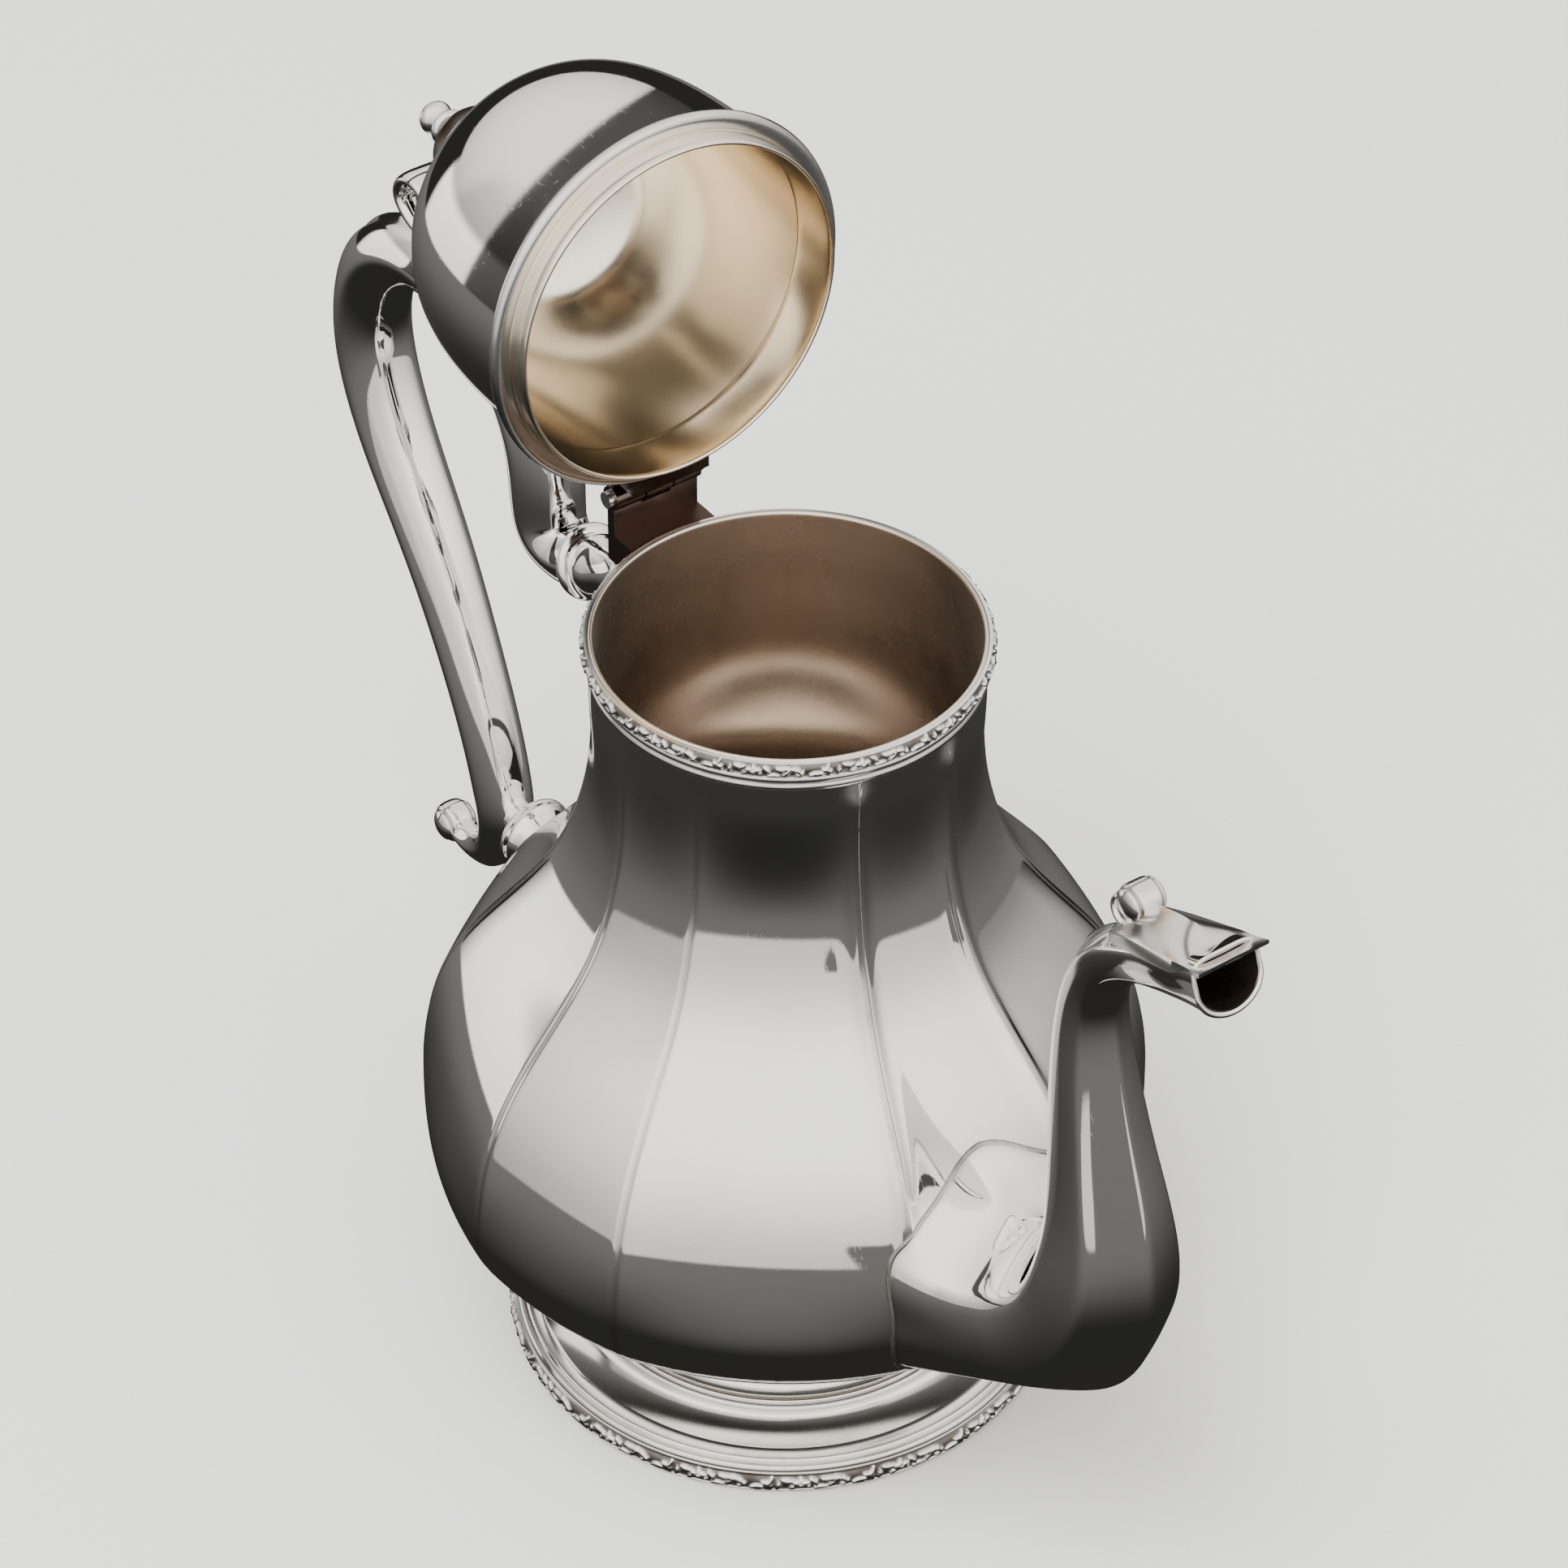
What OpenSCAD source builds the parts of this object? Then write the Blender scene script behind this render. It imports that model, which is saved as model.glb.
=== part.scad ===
/* [Body] */
// Inner radius of the round mouth
mouth_r = 36; // [34:0.5:38]
// Height of the mouth above the table
mouth_z = 173; // [170:1:178]
// Thickness of the body wall
wall = 1.2; // [0.8:0.1:1.6]
// How flat the ten panels are, from 0 (round) to 1 (flat)
panel_depth = 0.55; // [0:0.05:0.8]
// Diameter of one strainer hole at the root of the spout
strainer_d = 3; // [2:0.5:4]

/* [Foot] */
// Radius of the resting ring
foot_r = 54.4; // [50:0.2:58]
// Height of the foot, where the body stands on it
foot_h = 22; // [20:1:23]

/* [Lid] */
// How far the lid is open at rest, in degrees
lid_open = 91.4; // [60:0.2:95]
// Height of the dome above the mouth
dome_h = 53; // [48:1:58]
// Outer radius of the moulded lip
lip_r = 38; // [37:0.5:40]
// Outer radius of the bezel, the band that goes down into the mouth
bezel_r = 34.4; // [33:0.2:35]
// Depth of the bezel below the mouth
bezel_depth = 4; // [2:0.5:6]

/* [Hinge] */
// Distance of the hinge axis behind the centre
hinge_x = 43.9; // [43:0.1:45]
// Height of the hinge axis above the mouth
hinge_up = 7.5; // [6:0.5:9]
// Length of the whole barrel
barrel_l = 19; // [16:1:22]
// Diameter of the hinge pin
pin_d = 2; // [1.6:0.1:2.4]
// Outer diameter of the barrel
barrel_d = 5; // [4.4:0.1:5.4]

/* [Spout and handle] */
// Thickness of the stamped spout and handle sheet
sheet = 1.1; // [0.8:0.1:1.4]
// Half width of the spout at its mouth
beak_w = 8; // [7:0.5:9]

/* [Hidden] */
$fn = 64;
gap = 0.05;
neck_r = mouth_r + 1;
hinge_z = mouth_z + hinge_up;
plate = [0.80, 0.80, 0.79];
tarnish = [0.30, 0.24, 0.20];
gilt = [0.80, 0.72, 0.56];

// ---- small mathematics ----

// Knots are [t, value]; the value may be a number or a vector. The curve passes through each
// value with the slope between its two neighbours.
function seg(k, t, i = 0) = i >= len(k) - 2 || t < k[i + 1][0] ? i : seg(k, t, i + 1);
function slope(k, i) =
    let (a = max(0, i - 1), b = min(len(k) - 1, i + 1)) (k[b][1] - k[a][1]) / (k[b][0] - k[a][0]);
function curve(k, t) =
    let (i = seg(k, t), h = k[i + 1][0] - k[i][0], u = (t - k[i][0]) / h)
    k[i][1] * (1 + 2 * u) * (1 - u) * (1 - u) + k[i + 1][1] * u * u * (3 - 2 * u)
    + (slope(k, i) * u * (1 - u) * (1 - u) - slope(k, i + 1) * u * u * (1 - u)) * h;
function unit(v) = v / norm(v);
function clamp(v, lo, hi) = min(hi, max(lo, v));
function ease(v) = let (u = clamp(v, 0, 1)) u * u * (3 - 2 * u);
function blend(a, b, u) = a + (b - a) * u;

// ---- lofts ----

// Triangles of a grid of points with m rows of n points; a closed grid joins its last column to
// its first. Flip turns the faces round.
function grid(m, n, first, closed, flip) = [
    for (i = [0 : m - 2], j = [0 : n - (closed ? 1 : 2)])
        let (a = first + i * n + j, b = first + i * n + (j + 1) % n, c = a + n, d = b + n)
        each flip ? [[a, b, d], [a, d, c]] : [[a, d, b], [a, c, d]]];

// Solid between an outer and an inner skin, both given as rows of points. The ends are joined by
// a rim, and when the rows are open arcs so are the two long edges.
module skin_solid(outer, inner, closed) {
    m = len(outer);
    n = len(outer[0]);
    k = m * n;
    rim = function (row) [for (j = [0 : n - (closed ? 1 : 2)])
        let (a = row * n + j, b = row * n + (j + 1) % n)
        each row == 0 ? [[a, b, b + k], [a, b + k, a + k]] : [[a, b + k, b], [a, a + k, b + k]]];
    edge = function (col) [for (i = [0 : m - 2])
        let (a = i * n + col, b = a + n)
        each col == 0 ? [[a, b + k, b], [a, a + k, b + k]] : [[a, b, b + k], [a, b + k, a + k]]];
    polyhedron(
        points = concat([for (r = outer, p = r) p], [for (r = inner, p = r) p]),
        faces = concat(grid(m, n, 0, closed, false), grid(m, n, k, closed, true),
            rim(0), rim(m - 1), closed ? [] : concat(edge(0), edge(n - 1))));
}

// Solid loft through closed rings, with a fan of faces closing each end on its mean point.
module loft(rings) {
    m = len(rings);
    n = len(rings[0]);
    k = m * n;
    mean = function (r) [for (c = [0 : 2]) let (s = [for (p = r) p[c]]) s * [for (p = r) 1 / n]];
    polyhedron(
        points = concat([for (r = rings, p = r) p], [mean(rings[0]), mean(rings[m - 1])]),
        faces = concat(grid(m, n, 0, true, false),
            [for (j = [0 : n - 1]) [k, j, (j + 1) % n]],
            [for (j = [0 : n - 1]) [k + 1, (m - 1) * n + (j + 1) % n, (m - 1) * n + j]]));
}

// Frame of a path in the XZ plane: the tangent, and the normal on its right when looking
// along +Y, both found from two near points.
function path_at(k, t) = let (p = curve(k, t)) [p[0], 0, p[1]];
function path_dir(k, t) =
    let (a = curve(k, t - 0.01), b = curve(k, t + 0.01)) unit([b[0] - a[0], 0, b[1] - a[1]]);
function path_side(k, t) = let (d = path_dir(k, t)) [d[2], 0, -d[0]];

// ---- body ----

// Outer radius of the body against height, before the panels are pressed in
body_knots = [[22, 36], [26, 44], [32, 54], [40, 65], [48, 71], [58, 72.6], [70, 71.4],
              [82, 68], [92, 62.5], [102, 54.5], [112, 47], [124, 41.4], [138, 38.2],
              [152, neck_r], [174, neck_r], [180, neck_r]];
// Directions of the arrises between panels, in degrees from the spout
arris = [-160, -133, -90, -62, -16, 16, 62, 90, 133, 160, 200];
// Steps in each panel, wider panels having more
panel_steps = [5, 6, 4, 6, 5, 6, 4, 6, 5, 7];
ring_az = [for (i = [0 : 9], j = [0 : panel_steps[i] - 1])
    blend(arris[i], arris[i + 1], j / panel_steps[i])];
function wrap(a) = a < -160 ? wrap(a + 360) : a >= 200 ? wrap(a - 360) : a;
function panel_of(a, i = 0) = a < arris[i + 1] ? i : panel_of(a, i + 1);
// Share of the radius that a flat panel loses at direction a
function flat(a) =
    let (w = wrap(a), i = panel_of(w), c = (arris[i] + arris[i + 1]) / 2)
    1 - cos((arris[i + 1] - arris[i]) / 2) / cos(w - c);
// The panels grow out of the round foot seat and die away under the round neck
function press(z) = panel_depth * ease((z - 24) / 20) * ease((158 - z) / 45);
function body_r(a, z) = curve(body_knots, z) * (1 - press(z) * flat(a));
function body_point(a, z, off = 0) =
    let (r = body_r(a, z) + off) [r * cos(a), r * sin(a), z];
// Point of the outer skin at a given y and z, on the side of the handle or of the spout
function skin_x(y, z, side, x = 60, n = 4) =
    n == 0 ? x : skin_x(y, z, side,
        let (r = body_r(atan2(y, side * x), z)) sqrt(max(1, r * r - y * y)), n - 1);
function on_skin(y, z, side, off) = [side * (skin_x(y, z, side) + off), y, z];

shell_z = [22, 24, 27, 31, 36, 42, 48, 54, 60, 66, 73, 80, 86, 92, 98, 104, 110, 117, 124, 132,
           141, 151, 162, mouth_z];

module body_shell() {
    outer = [for (z = shell_z) [for (a = ring_az) body_point(a, z)]];
    inner = [for (z = shell_z) [for (a = ring_az) body_point(a, z, z < 140 ? -wall : mouth_r - neck_r)]];
    color(plate) difference() {
        skin_solid(outer, inner, true);
        translate([55, 0, strainer_z]) rotate([0, 90, 0]) cylinder(r = strainer_r, h = 30, $fn = 48);
    }
}

// Pierced disc set into the wall at the root of the spout, one hole in the middle and two rings
strainer_z = 62;
strainer_r = 13;
strainer_holes = [[0, 0], for (i = [0 : 5]) 5.2 * [cos(60 * i), sin(60 * i)],
    for (i = [0 : 11]) 10.4 * [cos(30 * i), sin(30 * i)]];

module strainer() color(gilt) translate([69.2, 0, strainer_z]) rotate([0, 90, 0]) difference() {
    cylinder(r = strainer_r - gap, h = 1, $fn = 48);
    for (p = strainer_holes) translate([p[0], p[1], -1]) cylinder(d = strainer_d, h = 3, $fn = 24);
}

module body_bottom() {
    // A shallow spun disc with its middle pushed up
    top = [for (i = [0 : 6]) let (r = 34.6 * (1 - i / 6)) [r, foot_h + 1.3 + 2 * (1 - pow(r / 34.6, 2))]];
    under = [for (i = [0 : 6]) let (r = 34.6 * i / 6) [r, foot_h + 2 * (1 - pow(r / 34.6, 2))]];
    color(gilt) rotate_extrude() polygon(concat(under, top));
}

// ---- foot ----

foot_wall = 1.4;
// Outer line of the foot from the table to the seat of the body
foot_line = [[foot_r, 0], [foot_r, 4.6], [foot_r + 0.5, 5.1], [foot_r - 0.3, 5.8],
             [foot_r - 0.8, 6.1], [foot_r - 1.1, 6.6], [foot_r - 2, 6.9],
             for (i = [0 : 6]) let (a = 15 * i) [foot_r - 2.4 - 8 * sin(a), 9.4 - 2.4 * cos(a)],
             [foot_r - 10.2, 10.1], [foot_r - 11, 10.6], [foot_r - 11.6, 10.3],
             [foot_r - 12.2, 11], [foot_r - 12.8, 11.2],
             for (i = [1 : 6]) let (a = 15 * i) [38.6 + 3 * (1 - sin(a)), 14.4 - 3 * cos(a)],
             [38, 17], [37.6, 19.5], [37.2, foot_h]];

module foot() {
    inside = [[34.5, foot_h], [35.6, 18], [37, 14], [39.4, 10.6], [foot_r - 10.6, 8.4],
              [foot_r - 6, 6], [foot_r - 3, 4.6], [foot_r - 2.4, 3], [foot_r - 2.4, 0]];
    color(plate) rotate_extrude($fn = 96) polygon(concat(foot_line, inside));
}

// Raised band with a row of bosses, the ground of the leaf ornament
module ornament_band(r, z, h, bosses, boss_r, clear_behind = 0) {
    rotate_extrude($fn = 96) translate([r, z]) polygon([[gap, 0], [0.9, 0.2], [1.3, h * 0.3],
        [1.3, h * 0.7], [0.9, h - 0.2], [gap, h]]);
    for (i = [0 : bosses - 1]) let (a = (i + 0.5) * 360 / bosses) if (abs(a - 180) > clear_behind)
        rotate([0, 0, a]) translate([r + boss_r + gap, 0, z + h / 2]) sphere(r = boss_r, $fn = 16);
}

module foot_border() color(plate) ornament_band(foot_r, 0.3, 4.1, 36, 0.95);

module rim_border() color(plate) ornament_band(neck_r, mouth_z - 3.7, 3.5, 24, 0.9, 20);

module neck_reeds() color(plate) rotate_extrude($fn = 96)
    for (drop = [6, 4.7]) translate([neck_r + gap, mouth_z - drop]) polygon([[0, -0.5], [0.45, -0.35],
        [0.6, 0], [0.45, 0.35], [0, 0.5]]);

// ---- spout ----

// Centre line of the spout, [t, [x, z]], and its half size, [t, [in plane, across]]
spout_path = [[0, [70, 63]], [1, [80, 66.5]], [2, [90, 70.5]], [3, [97, 79]], [4, [100, 91]],
              [5, [99.5, 104]], [6, [96.5, 118]], [7, [93.5, 133]], [8, [92, 148]],
              [9, [94, 159.5]], [10, [100.5, 168]], [11, [111, 174.4]], [12, [120, 178.4]],
              [13, [126.5, 181]], [14, [133, 183]]];
spout_size = [[0, [22, 25]], [1, [17.6, 20]], [2, [16.4, 17]], [3, [15, 15.5]], [4, [13.5, 14]],
              [5, [11.8, 12]], [6, [10, 10]], [7, [8.6, 8.4]], [8, [7.2, 7]],
              [9, [6.2, 6.6]], [10, [6, 6.6]], [11, [5.8, 6.8]], [12, [6, 7.4]],
              [13, [6.4, beak_w]], [14, [6.8, beak_w]]];
spout_t = [0, 0.5, 1, 1.5, 2, 2.5, 3, 3.5, 4, 4.5, 5, 5.5, 6, 6.5, 7, 7.5, 8, 8.5, 9, 9.4, 9.8,
           10.2, 10.6, 11, 11.5, 12, 12.5, 13];
spout_steps = 12;
// Six soft arrises, one of them along the outer middle line
function six_sided(a, soft) =
    let (w = a - 60 * floor(a / 60) - 30) blend(1, cos(30) / cos(w), soft);
function spout_ring(t, side, inset) =
    let (c = path_at(spout_path, t), n = path_side(spout_path, t), s = curve(spout_size, t),
        soft = t < 9 ? 0.8 : 0.8 - 0.25 * ease((t - 9) / 3))
    [for (i = [0 : spout_steps])
        let (a = 180 * i / spout_steps, q = six_sided(a, soft))
        c + n * (s[0] * q - inset) * cos(a) + [0, side * (s[1] * q - inset) * sin(a), 0]];
// The root lies on the body: a ring with six lobes, its lowest point first
root_z = 63;
root_r = 26;
function spout_root(side, inset) = [for (i = [0 : spout_steps])
    let (a = 180 * i / spout_steps, r = root_r + cos(6 * a) * 0.8 - inset)
    on_skin(side * r * sin(a) * 0.96, root_z - r * cos(a) * (a < 90 ? 0.9 : 1.04), 1, gap)];
function root_to_ring(side, inset, u) =
    let (a = spout_root(side, inset), b = spout_ring(1, side, inset))
    [for (i = [0 : spout_steps]) blend(a[i], b[i], u)];

module spout_half(side) {
    skin = function (inset) concat(
        [spout_root(side, inset), root_to_ring(side, inset, 0.3), root_to_ring(side, inset, 0.65)],
        [for (t = spout_t) if (t >= 1) spout_ring(t, side, inset)]);
    rows = function (s) side > 0 ? [for (r = s) [for (i = [0 : spout_steps]) r[spout_steps - i]]] : s;
    color(plate) skin_solid(rows(skin(0)), rows(skin(sheet)), false);
}

module spout_left() spout_half(1);

module spout_right() spout_half(-1);

// Shell-shaped hood on top of the spout's head, ending in a flared lip
module spout_hood() {
    t_of = function (u) 10.3 + 2.75 * u;
    ring = function (u, lift) let (t = t_of(u), c = path_at(spout_path, t),
            n = path_side(spout_path, t), s = curve(spout_size, t), flare = 2.4 * pow(u, 4),
            span = 78 + 6 * u)
        [for (i = [0 : 10]) let (a = 180 - span + 2 * span * i / 10, q = six_sided(a, 0.55))
            c + n * ((s[0] * q) + lift + flare) * cos(a) + [0, (s[1] * q + lift + flare * 0.4) * sin(a), 0]];
    us = [for (i = [0 : 9]) i / 9];
    color(plate) skin_solid([for (u = us) ring(u, 1)], [for (u = us) ring(u, 3 * gap)], false);
}

// Rolled scroll at the back of the hood: a strip wound into a curl
module spout_scroll() {
    centre = [100.8, 181];
    wind = function (a) 4 - 2.2 * a / 400;
    outline = concat(
        [for (a = [0 : 25 : 400]) centre + wind(a) * [cos(a - 130), sin(a - 130)]],
        [for (a = [400 : -25 : 0]) centre + (wind(a) - 0.9) * [cos(a - 130), sin(a - 130)]]);
    color(plate) translate([0, 3.8, 0]) rotate([90, 0, 0]) linear_extrude(7.6) polygon(outline);
}

// Thin wire round the lower lip of the beak
module beak_rim() {
    t = 13;
    c = path_at(spout_path, t);
    n = path_side(spout_path, t);
    d = path_dir(spout_path, t);
    s = curve(spout_size, t);
    ring = function (a, r, w) let (q = six_sided(a, 0.55))
        c + d * w + n * (s[0] * q + r) * cos(a) + [0, (s[1] * q + r) * sin(a), 0];
    angles = [for (i = [0 : 16]) -100 + 200 * i / 16];
    rows = [for (a = angles) [ring(a, 0.1, gap), ring(a, 0.1, 1.1), ring(a, -1.1, 1.1), ring(a, -1.1, gap)]];
    color(plate) loft(rows);
}

// ---- handle ----

handle_path = [[0, [-67, 147]], [1, [-74, 145.4]], [2, [-79.6, 149]], [3, [-80.8, 158]],
               [4, [-83, 169]], [5, [-90.5, 179.5]], [6, [-103, 186.5]], [7, [-117, 188.5]],
               [8, [-130.5, 184.5]], [9, [-140.3, 175]], [10, [-144.4, 162]], [11, [-143, 149]],
               [12, [-137, 135.5]], [13, [-128.5, 122.5]], [14, [-120, 109]],
               [15, [-112.5, 94.5]], [16, [-106, 79.5]], [17, [-101.6, 65]], [18, [-101, 55.5]],
               [19, [-104.5, 47.5]], [20, [-111.5, 42.6]], [21, [-119, 41]]];
handle_size = [[0, [6.2, 6.2]], [1, [7, 6.8]], [2, [8, 7.6]], [3, [8.4, 8]], [5, [7.8, 8]],
               [7, [7.6, 8]], [9, [8.2, 8.4]], [11, [8.8, 8.6]], [13, [8, 8]],
               [15, [6.4, 6.4]], [17, [5.6, 5.8]], [18, [5.2, 5.6]], [19, [4.4, 4.6]],
               [20, [3.4, 3.6]], [21, [3, 3]]];
handle_steps = 10;
function handle_ring(t, side, inset) =
    let (c = path_at(handle_path, t), n = path_side(handle_path, t), s = curve(handle_size, t))
    [for (i = [0 : handle_steps])
        let (a = 180 * i / handle_steps, q = six_sided(a + 30, 0.5))
        c + n * (s[0] * q - inset) * cos(a) + [0, side * (s[1] * q - inset) * sin(a), 0]];

module handle_half(side) {
    ts = [for (i = [0 : 41]) i / 2];
    rows = function (s) side > 0 ? [for (r = s) [for (i = [0 : handle_steps]) r[handle_steps - i]]] : s;
    color(plate) skin_solid(rows([for (t = ts) handle_ring(t, side, 0)]),
        rows([for (t = ts) handle_ring(t, side, sheet)]), false);
}

module handle_left() handle_half(1);

module handle_right() handle_half(-1);

module upper_ferrule() {
    c = path_at(handle_path, 0);
    d = path_dir(handle_path, 0);
    n = path_side(handle_path, 0);
    ring = function (s, r) [for (i = [0 : 23]) let (a = 15 * i)
        c - d * s + n * r * cos(a) + [0, r * sin(a), 0]];
    color(plate) loft([ring(3, 6.2), ring(2.7, 7.3), ring(1.8, 7.8), ring(0.9, 7.3), ring(gap, 6.2)]);
}

// Spool-shaped socket between the neck and the ferrule
module upper_socket() {
    c = path_at(handle_path, 0);
    d = path_dir(handle_path, 0);
    n = path_side(handle_path, 0);
    ring = function (s, r) [for (i = [0 : 23]) let (a = 15 * i)
        c - d * s + n * r * cos(a) + [0, r * sin(a), 0]];
    foot_ring = function (r) [for (i = [0 : 23]) let (a = 15 * i)
        on_skin(r * sin(a), 154 + r * cos(a), -1, gap)];
    color(plate) loft([foot_ring(0.3), foot_ring(3), foot_ring(6), foot_ring(9.4), ring(25, 8), ring(20, 6.8), ring(14, 5.8), ring(8, 5.8),
        ring(4.6, 6.2), ring(3 + gap, 6.2)]);
}

lower_z = 60.5;
module lower_ferrule() {
    ring = function (x, r) [for (i = [0 : 23]) let (a = 15 * i) [x, r * sin(a), lower_z - r * cos(a)]];
    color(plate) loft([ring(-89.4, 8), ring(-90.2, 7.8), ring(-91.4, 5.6), ring(-93, 4.4), ring(-95.6, 4)]);
}

module lower_socket() {
    ring = function (x, r) [for (i = [0 : 23]) let (a = 15 * i) [x, r * sin(a), lower_z - r * cos(a)]];
    foot_ring = function (r) [for (i = [0 : 23]) let (a = 15 * i)
        on_skin(r * sin(a), lower_z - r * cos(a), -1, gap)];
    color(plate) loft([foot_ring(0.3), foot_ring(3.5), foot_ring(7), foot_ring(10), ring(-76, 7.6),
        ring(-80, 6.3), ring(-84, 6), ring(-87.5, 6.8), ring(-89.3, 8)]);
}

// Curled leaf standing on the bend of the handle
module thumb_scroll() {
    line = [[0, [-117, 196.9]], [1, [-122.4, 199.4]], [2, [-124.6, 203.6]], [3, [-121.6, 207.6]],
            [4, [-116, 208]], [5, [-112.4, 204.6]], [6, [-114, 201.4]], [7, [-117.4, 202.6]]];
    half = function (t) 1.4 - 0.12 * t;
    pts = [for (i = [0 : 14]) let (t = i / 2) path_at(line, t) + path_side(line, t) * half(t)];
    back = [for (i = [14 : -1 : 0]) let (t = i / 2) path_at(line, t) - path_side(line, t) * half(t)];
    color(plate) translate([0, 5.5, 0]) rotate([90, 0, 0]) linear_extrude(11)
        polygon([for (p = concat(pts, back)) [p[0], p[2]]]);
}

// Ball-ended volute that closes the lower end of the handle
module handle_volute() {
    color(plate) translate([-121.4, 0, 41.6]) rotate([90, 0, 0]) {
        translate([0, 0, -3.2]) cylinder(r = 4.8, h = 6.4, $fn = 32);
        translate([0, 0, -4.2]) cylinder(r = 2.8, h = 8.4, $fn = 32);
        translate([0, 0, 0]) rotate([0, 90, 0]) cylinder(r = 1.3, h = 9, $fn = 24);
    }
}

// ---- hinge ----

knuckle = (barrel_l - 0.6) / 3;
bracket_z = mouth_z - 7.3;
module on_hinge() translate([-hinge_x, 0, hinge_z]) rotate([-90, 0, 0]) children();

// Plate soldered behind the rim, carrying the two outer knuckles
module hinge_bracket() {
    color(tarnish) difference() {
        union() {
            for (s = [-1, 1]) translate([0, s * (barrel_l - knuckle) / 2, 0])
                on_hinge() translate([0, 0, -knuckle / 2]) cylinder(d = barrel_d, h = knuckle, $fn = 40);
            translate([-hinge_x - 1.2, -barrel_l / 2, bracket_z])
                cube([2.2, barrel_l, hinge_z - barrel_d / 2 - 0.5 - bracket_z]);
            for (s = [-1, 1])
                translate([-hinge_x - 1.2, s * (barrel_l - knuckle) / 2 - knuckle / 2, hinge_z - barrel_d / 2 - 1])
                    cube([2.2, knuckle, 2]);
            translate([-hinge_x, -barrel_l / 2, bracket_z]) cube([8, barrel_l, 6.5]);
        }
        on_hinge() translate([0, 0, -20]) cylinder(d = pin_d, h = 40, $fn = 32);
        cylinder(r = neck_r + 1.35, h = 200, $fn = 96);
    }
}

module hinge_pin() color(plate) on_hinge() {
    translate([0, 0, -barrel_l / 2 - 0.6]) cylinder(d = pin_d, h = barrel_l + 1.2, $fn = 32);
    for (s = [-1, 1]) translate([0, 0, s * (barrel_l / 2 + 0.6 + gap / 2) - 0.6])
        cylinder(d = pin_d + 1.4, h = 1.2, $fn = 32);
}

// ---- lid, drawn closed and swung open about the hinge ----

module swung() translate([-hinge_x, 0, hinge_z]) rotate([0, -lid_open, 0])
    translate([hinge_x, 0, -hinge_z]) children();

dome_base = mouth_z + 4.2;
dome_r = 35.2;
fullness = 0.6;
function dome_point(r, h, u) =
    [r * pow(cos(90 * u), fullness), dome_base + h * pow(sin(90 * u), fullness)];
module lid_dome() {
    top = dome_h - 4.2;
    outer = [for (i = [0 : 20]) dome_point(dome_r, top, i / 20)];
    inner = [for (i = [20 : -1 : 0]) dome_point(dome_r - 1.1, top - 1.1, i / 20)];
    color(plate) swung() difference() {
        rotate_extrude($fn = 96) polygon([for (p = concat(outer, inner)) [max(0, p[0]), p[1]]]);
        cylinder(d = 2.2, h = 300, $fn = 24);
    }
}

// Rolled moulding round the foot of the dome
module lid_lip() color(plate) swung() rotate_extrude($fn = 96) translate([0, mouth_z]) polygon([
    [35, 0.3], [36.8, 0.3], [lip_r - 0.3, 0.9], [lip_r, 1.8], [lip_r - 0.2, 2.7], [lip_r - 0.9, 3.3],
    [36.9, 3.5], [36.8, 4.2 - gap], [35, 4.2 - gap]]);

module lid_bezel() color(gilt) swung() rotate_extrude($fn = 96) polygon([
    [bezel_r - 0.9, mouth_z - bezel_depth], [bezel_r, mouth_z - bezel_depth],
    [bezel_r, mouth_z + 1], [35 - gap, mouth_z + 2], [35 - gap, mouth_z + 4.2],
    [34.2, mouth_z + 4.2], [bezel_r - 0.9, mouth_z + 1.4]]);

module lid_leaf() color(tarnish) swung() difference() {
    union() {
        on_hinge() translate([0, 0, -knuckle / 2 + 0.15]) cylinder(d = barrel_d, h = knuckle - 0.3, $fn = 40);
        translate([-hinge_x, -knuckle / 2 + 0.15, hinge_z - barrel_d / 2]) cube([8, knuckle - 0.3, 2]);
        translate([-hinge_x + 3.6, -barrel_l / 2 + 1, mouth_z + 1]) cube([6, barrel_l - 2, 7]);
    }
    on_hinge() translate([0, 0, -20]) cylinder(d = pin_d + 0.1, h = 40, $fn = 32);
    cylinder(r = lip_r + gap, h = 300, $fn = 96);
}

apex = mouth_z + dome_h;
// Height of the tarnished mound under the knob, and the height of its foot against the dome's top
mound_h = 21;
mound_seat = -0.38;
mound = [[0, 13], [3.4, 11.6], [7.5, 10.4], [11.5, 9.6], [15, 8.4], [18, 6.4], [20, 3.8], [mound_h, 2.6]];
function mound_line(inset) = [for (i = [0 : 14]) let (h = mound_h * i / 14)
    [max(1.2, curve(mound, h) - inset), h - (inset > 0 ? inset * i / 14 : 0)]];
module finial_base() color(tarnish) swung() translate([0, 0, apex]) {
    outer = mound_line(0);
    inner = mound_line(1);
    rotate_extrude($fn = 48) translate([0, mound_seat]) polygon(concat(outer,
        [for (i = [14 : -1 : 0]) inner[i]]));
}
module finial_knob() color(plate) swung() difference() {
    rotate_extrude($fn = 48) translate([0, apex + mound_seat + mound_h]) polygon([[0, gap], [2.4, gap],
        [3.4, 0.6], [3.9, 1.5], [3.4, 2.4], [2.2, 2.9], [1.8, 3.6], [2.4, 4.2], [3.2, 5], [3.5, 6],
        [3.1, 7.2], [2, 8], [0, 8.4]]);
    translate([0, 0, apex - 1]) cylinder(d = 2.2, h = mound_h + 5, $fn = 24);
}

module finial_stud() color(tarnish) swung() {
    translate([0, 0, apex - 1.2]) cylinder(d = 2.1, h = mound_h + 4.5, $fn = 24);
    translate([0, 0, apex - 2.4]) cylinder(d = 5, h = 1.2, $fn = 24);
}

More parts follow.
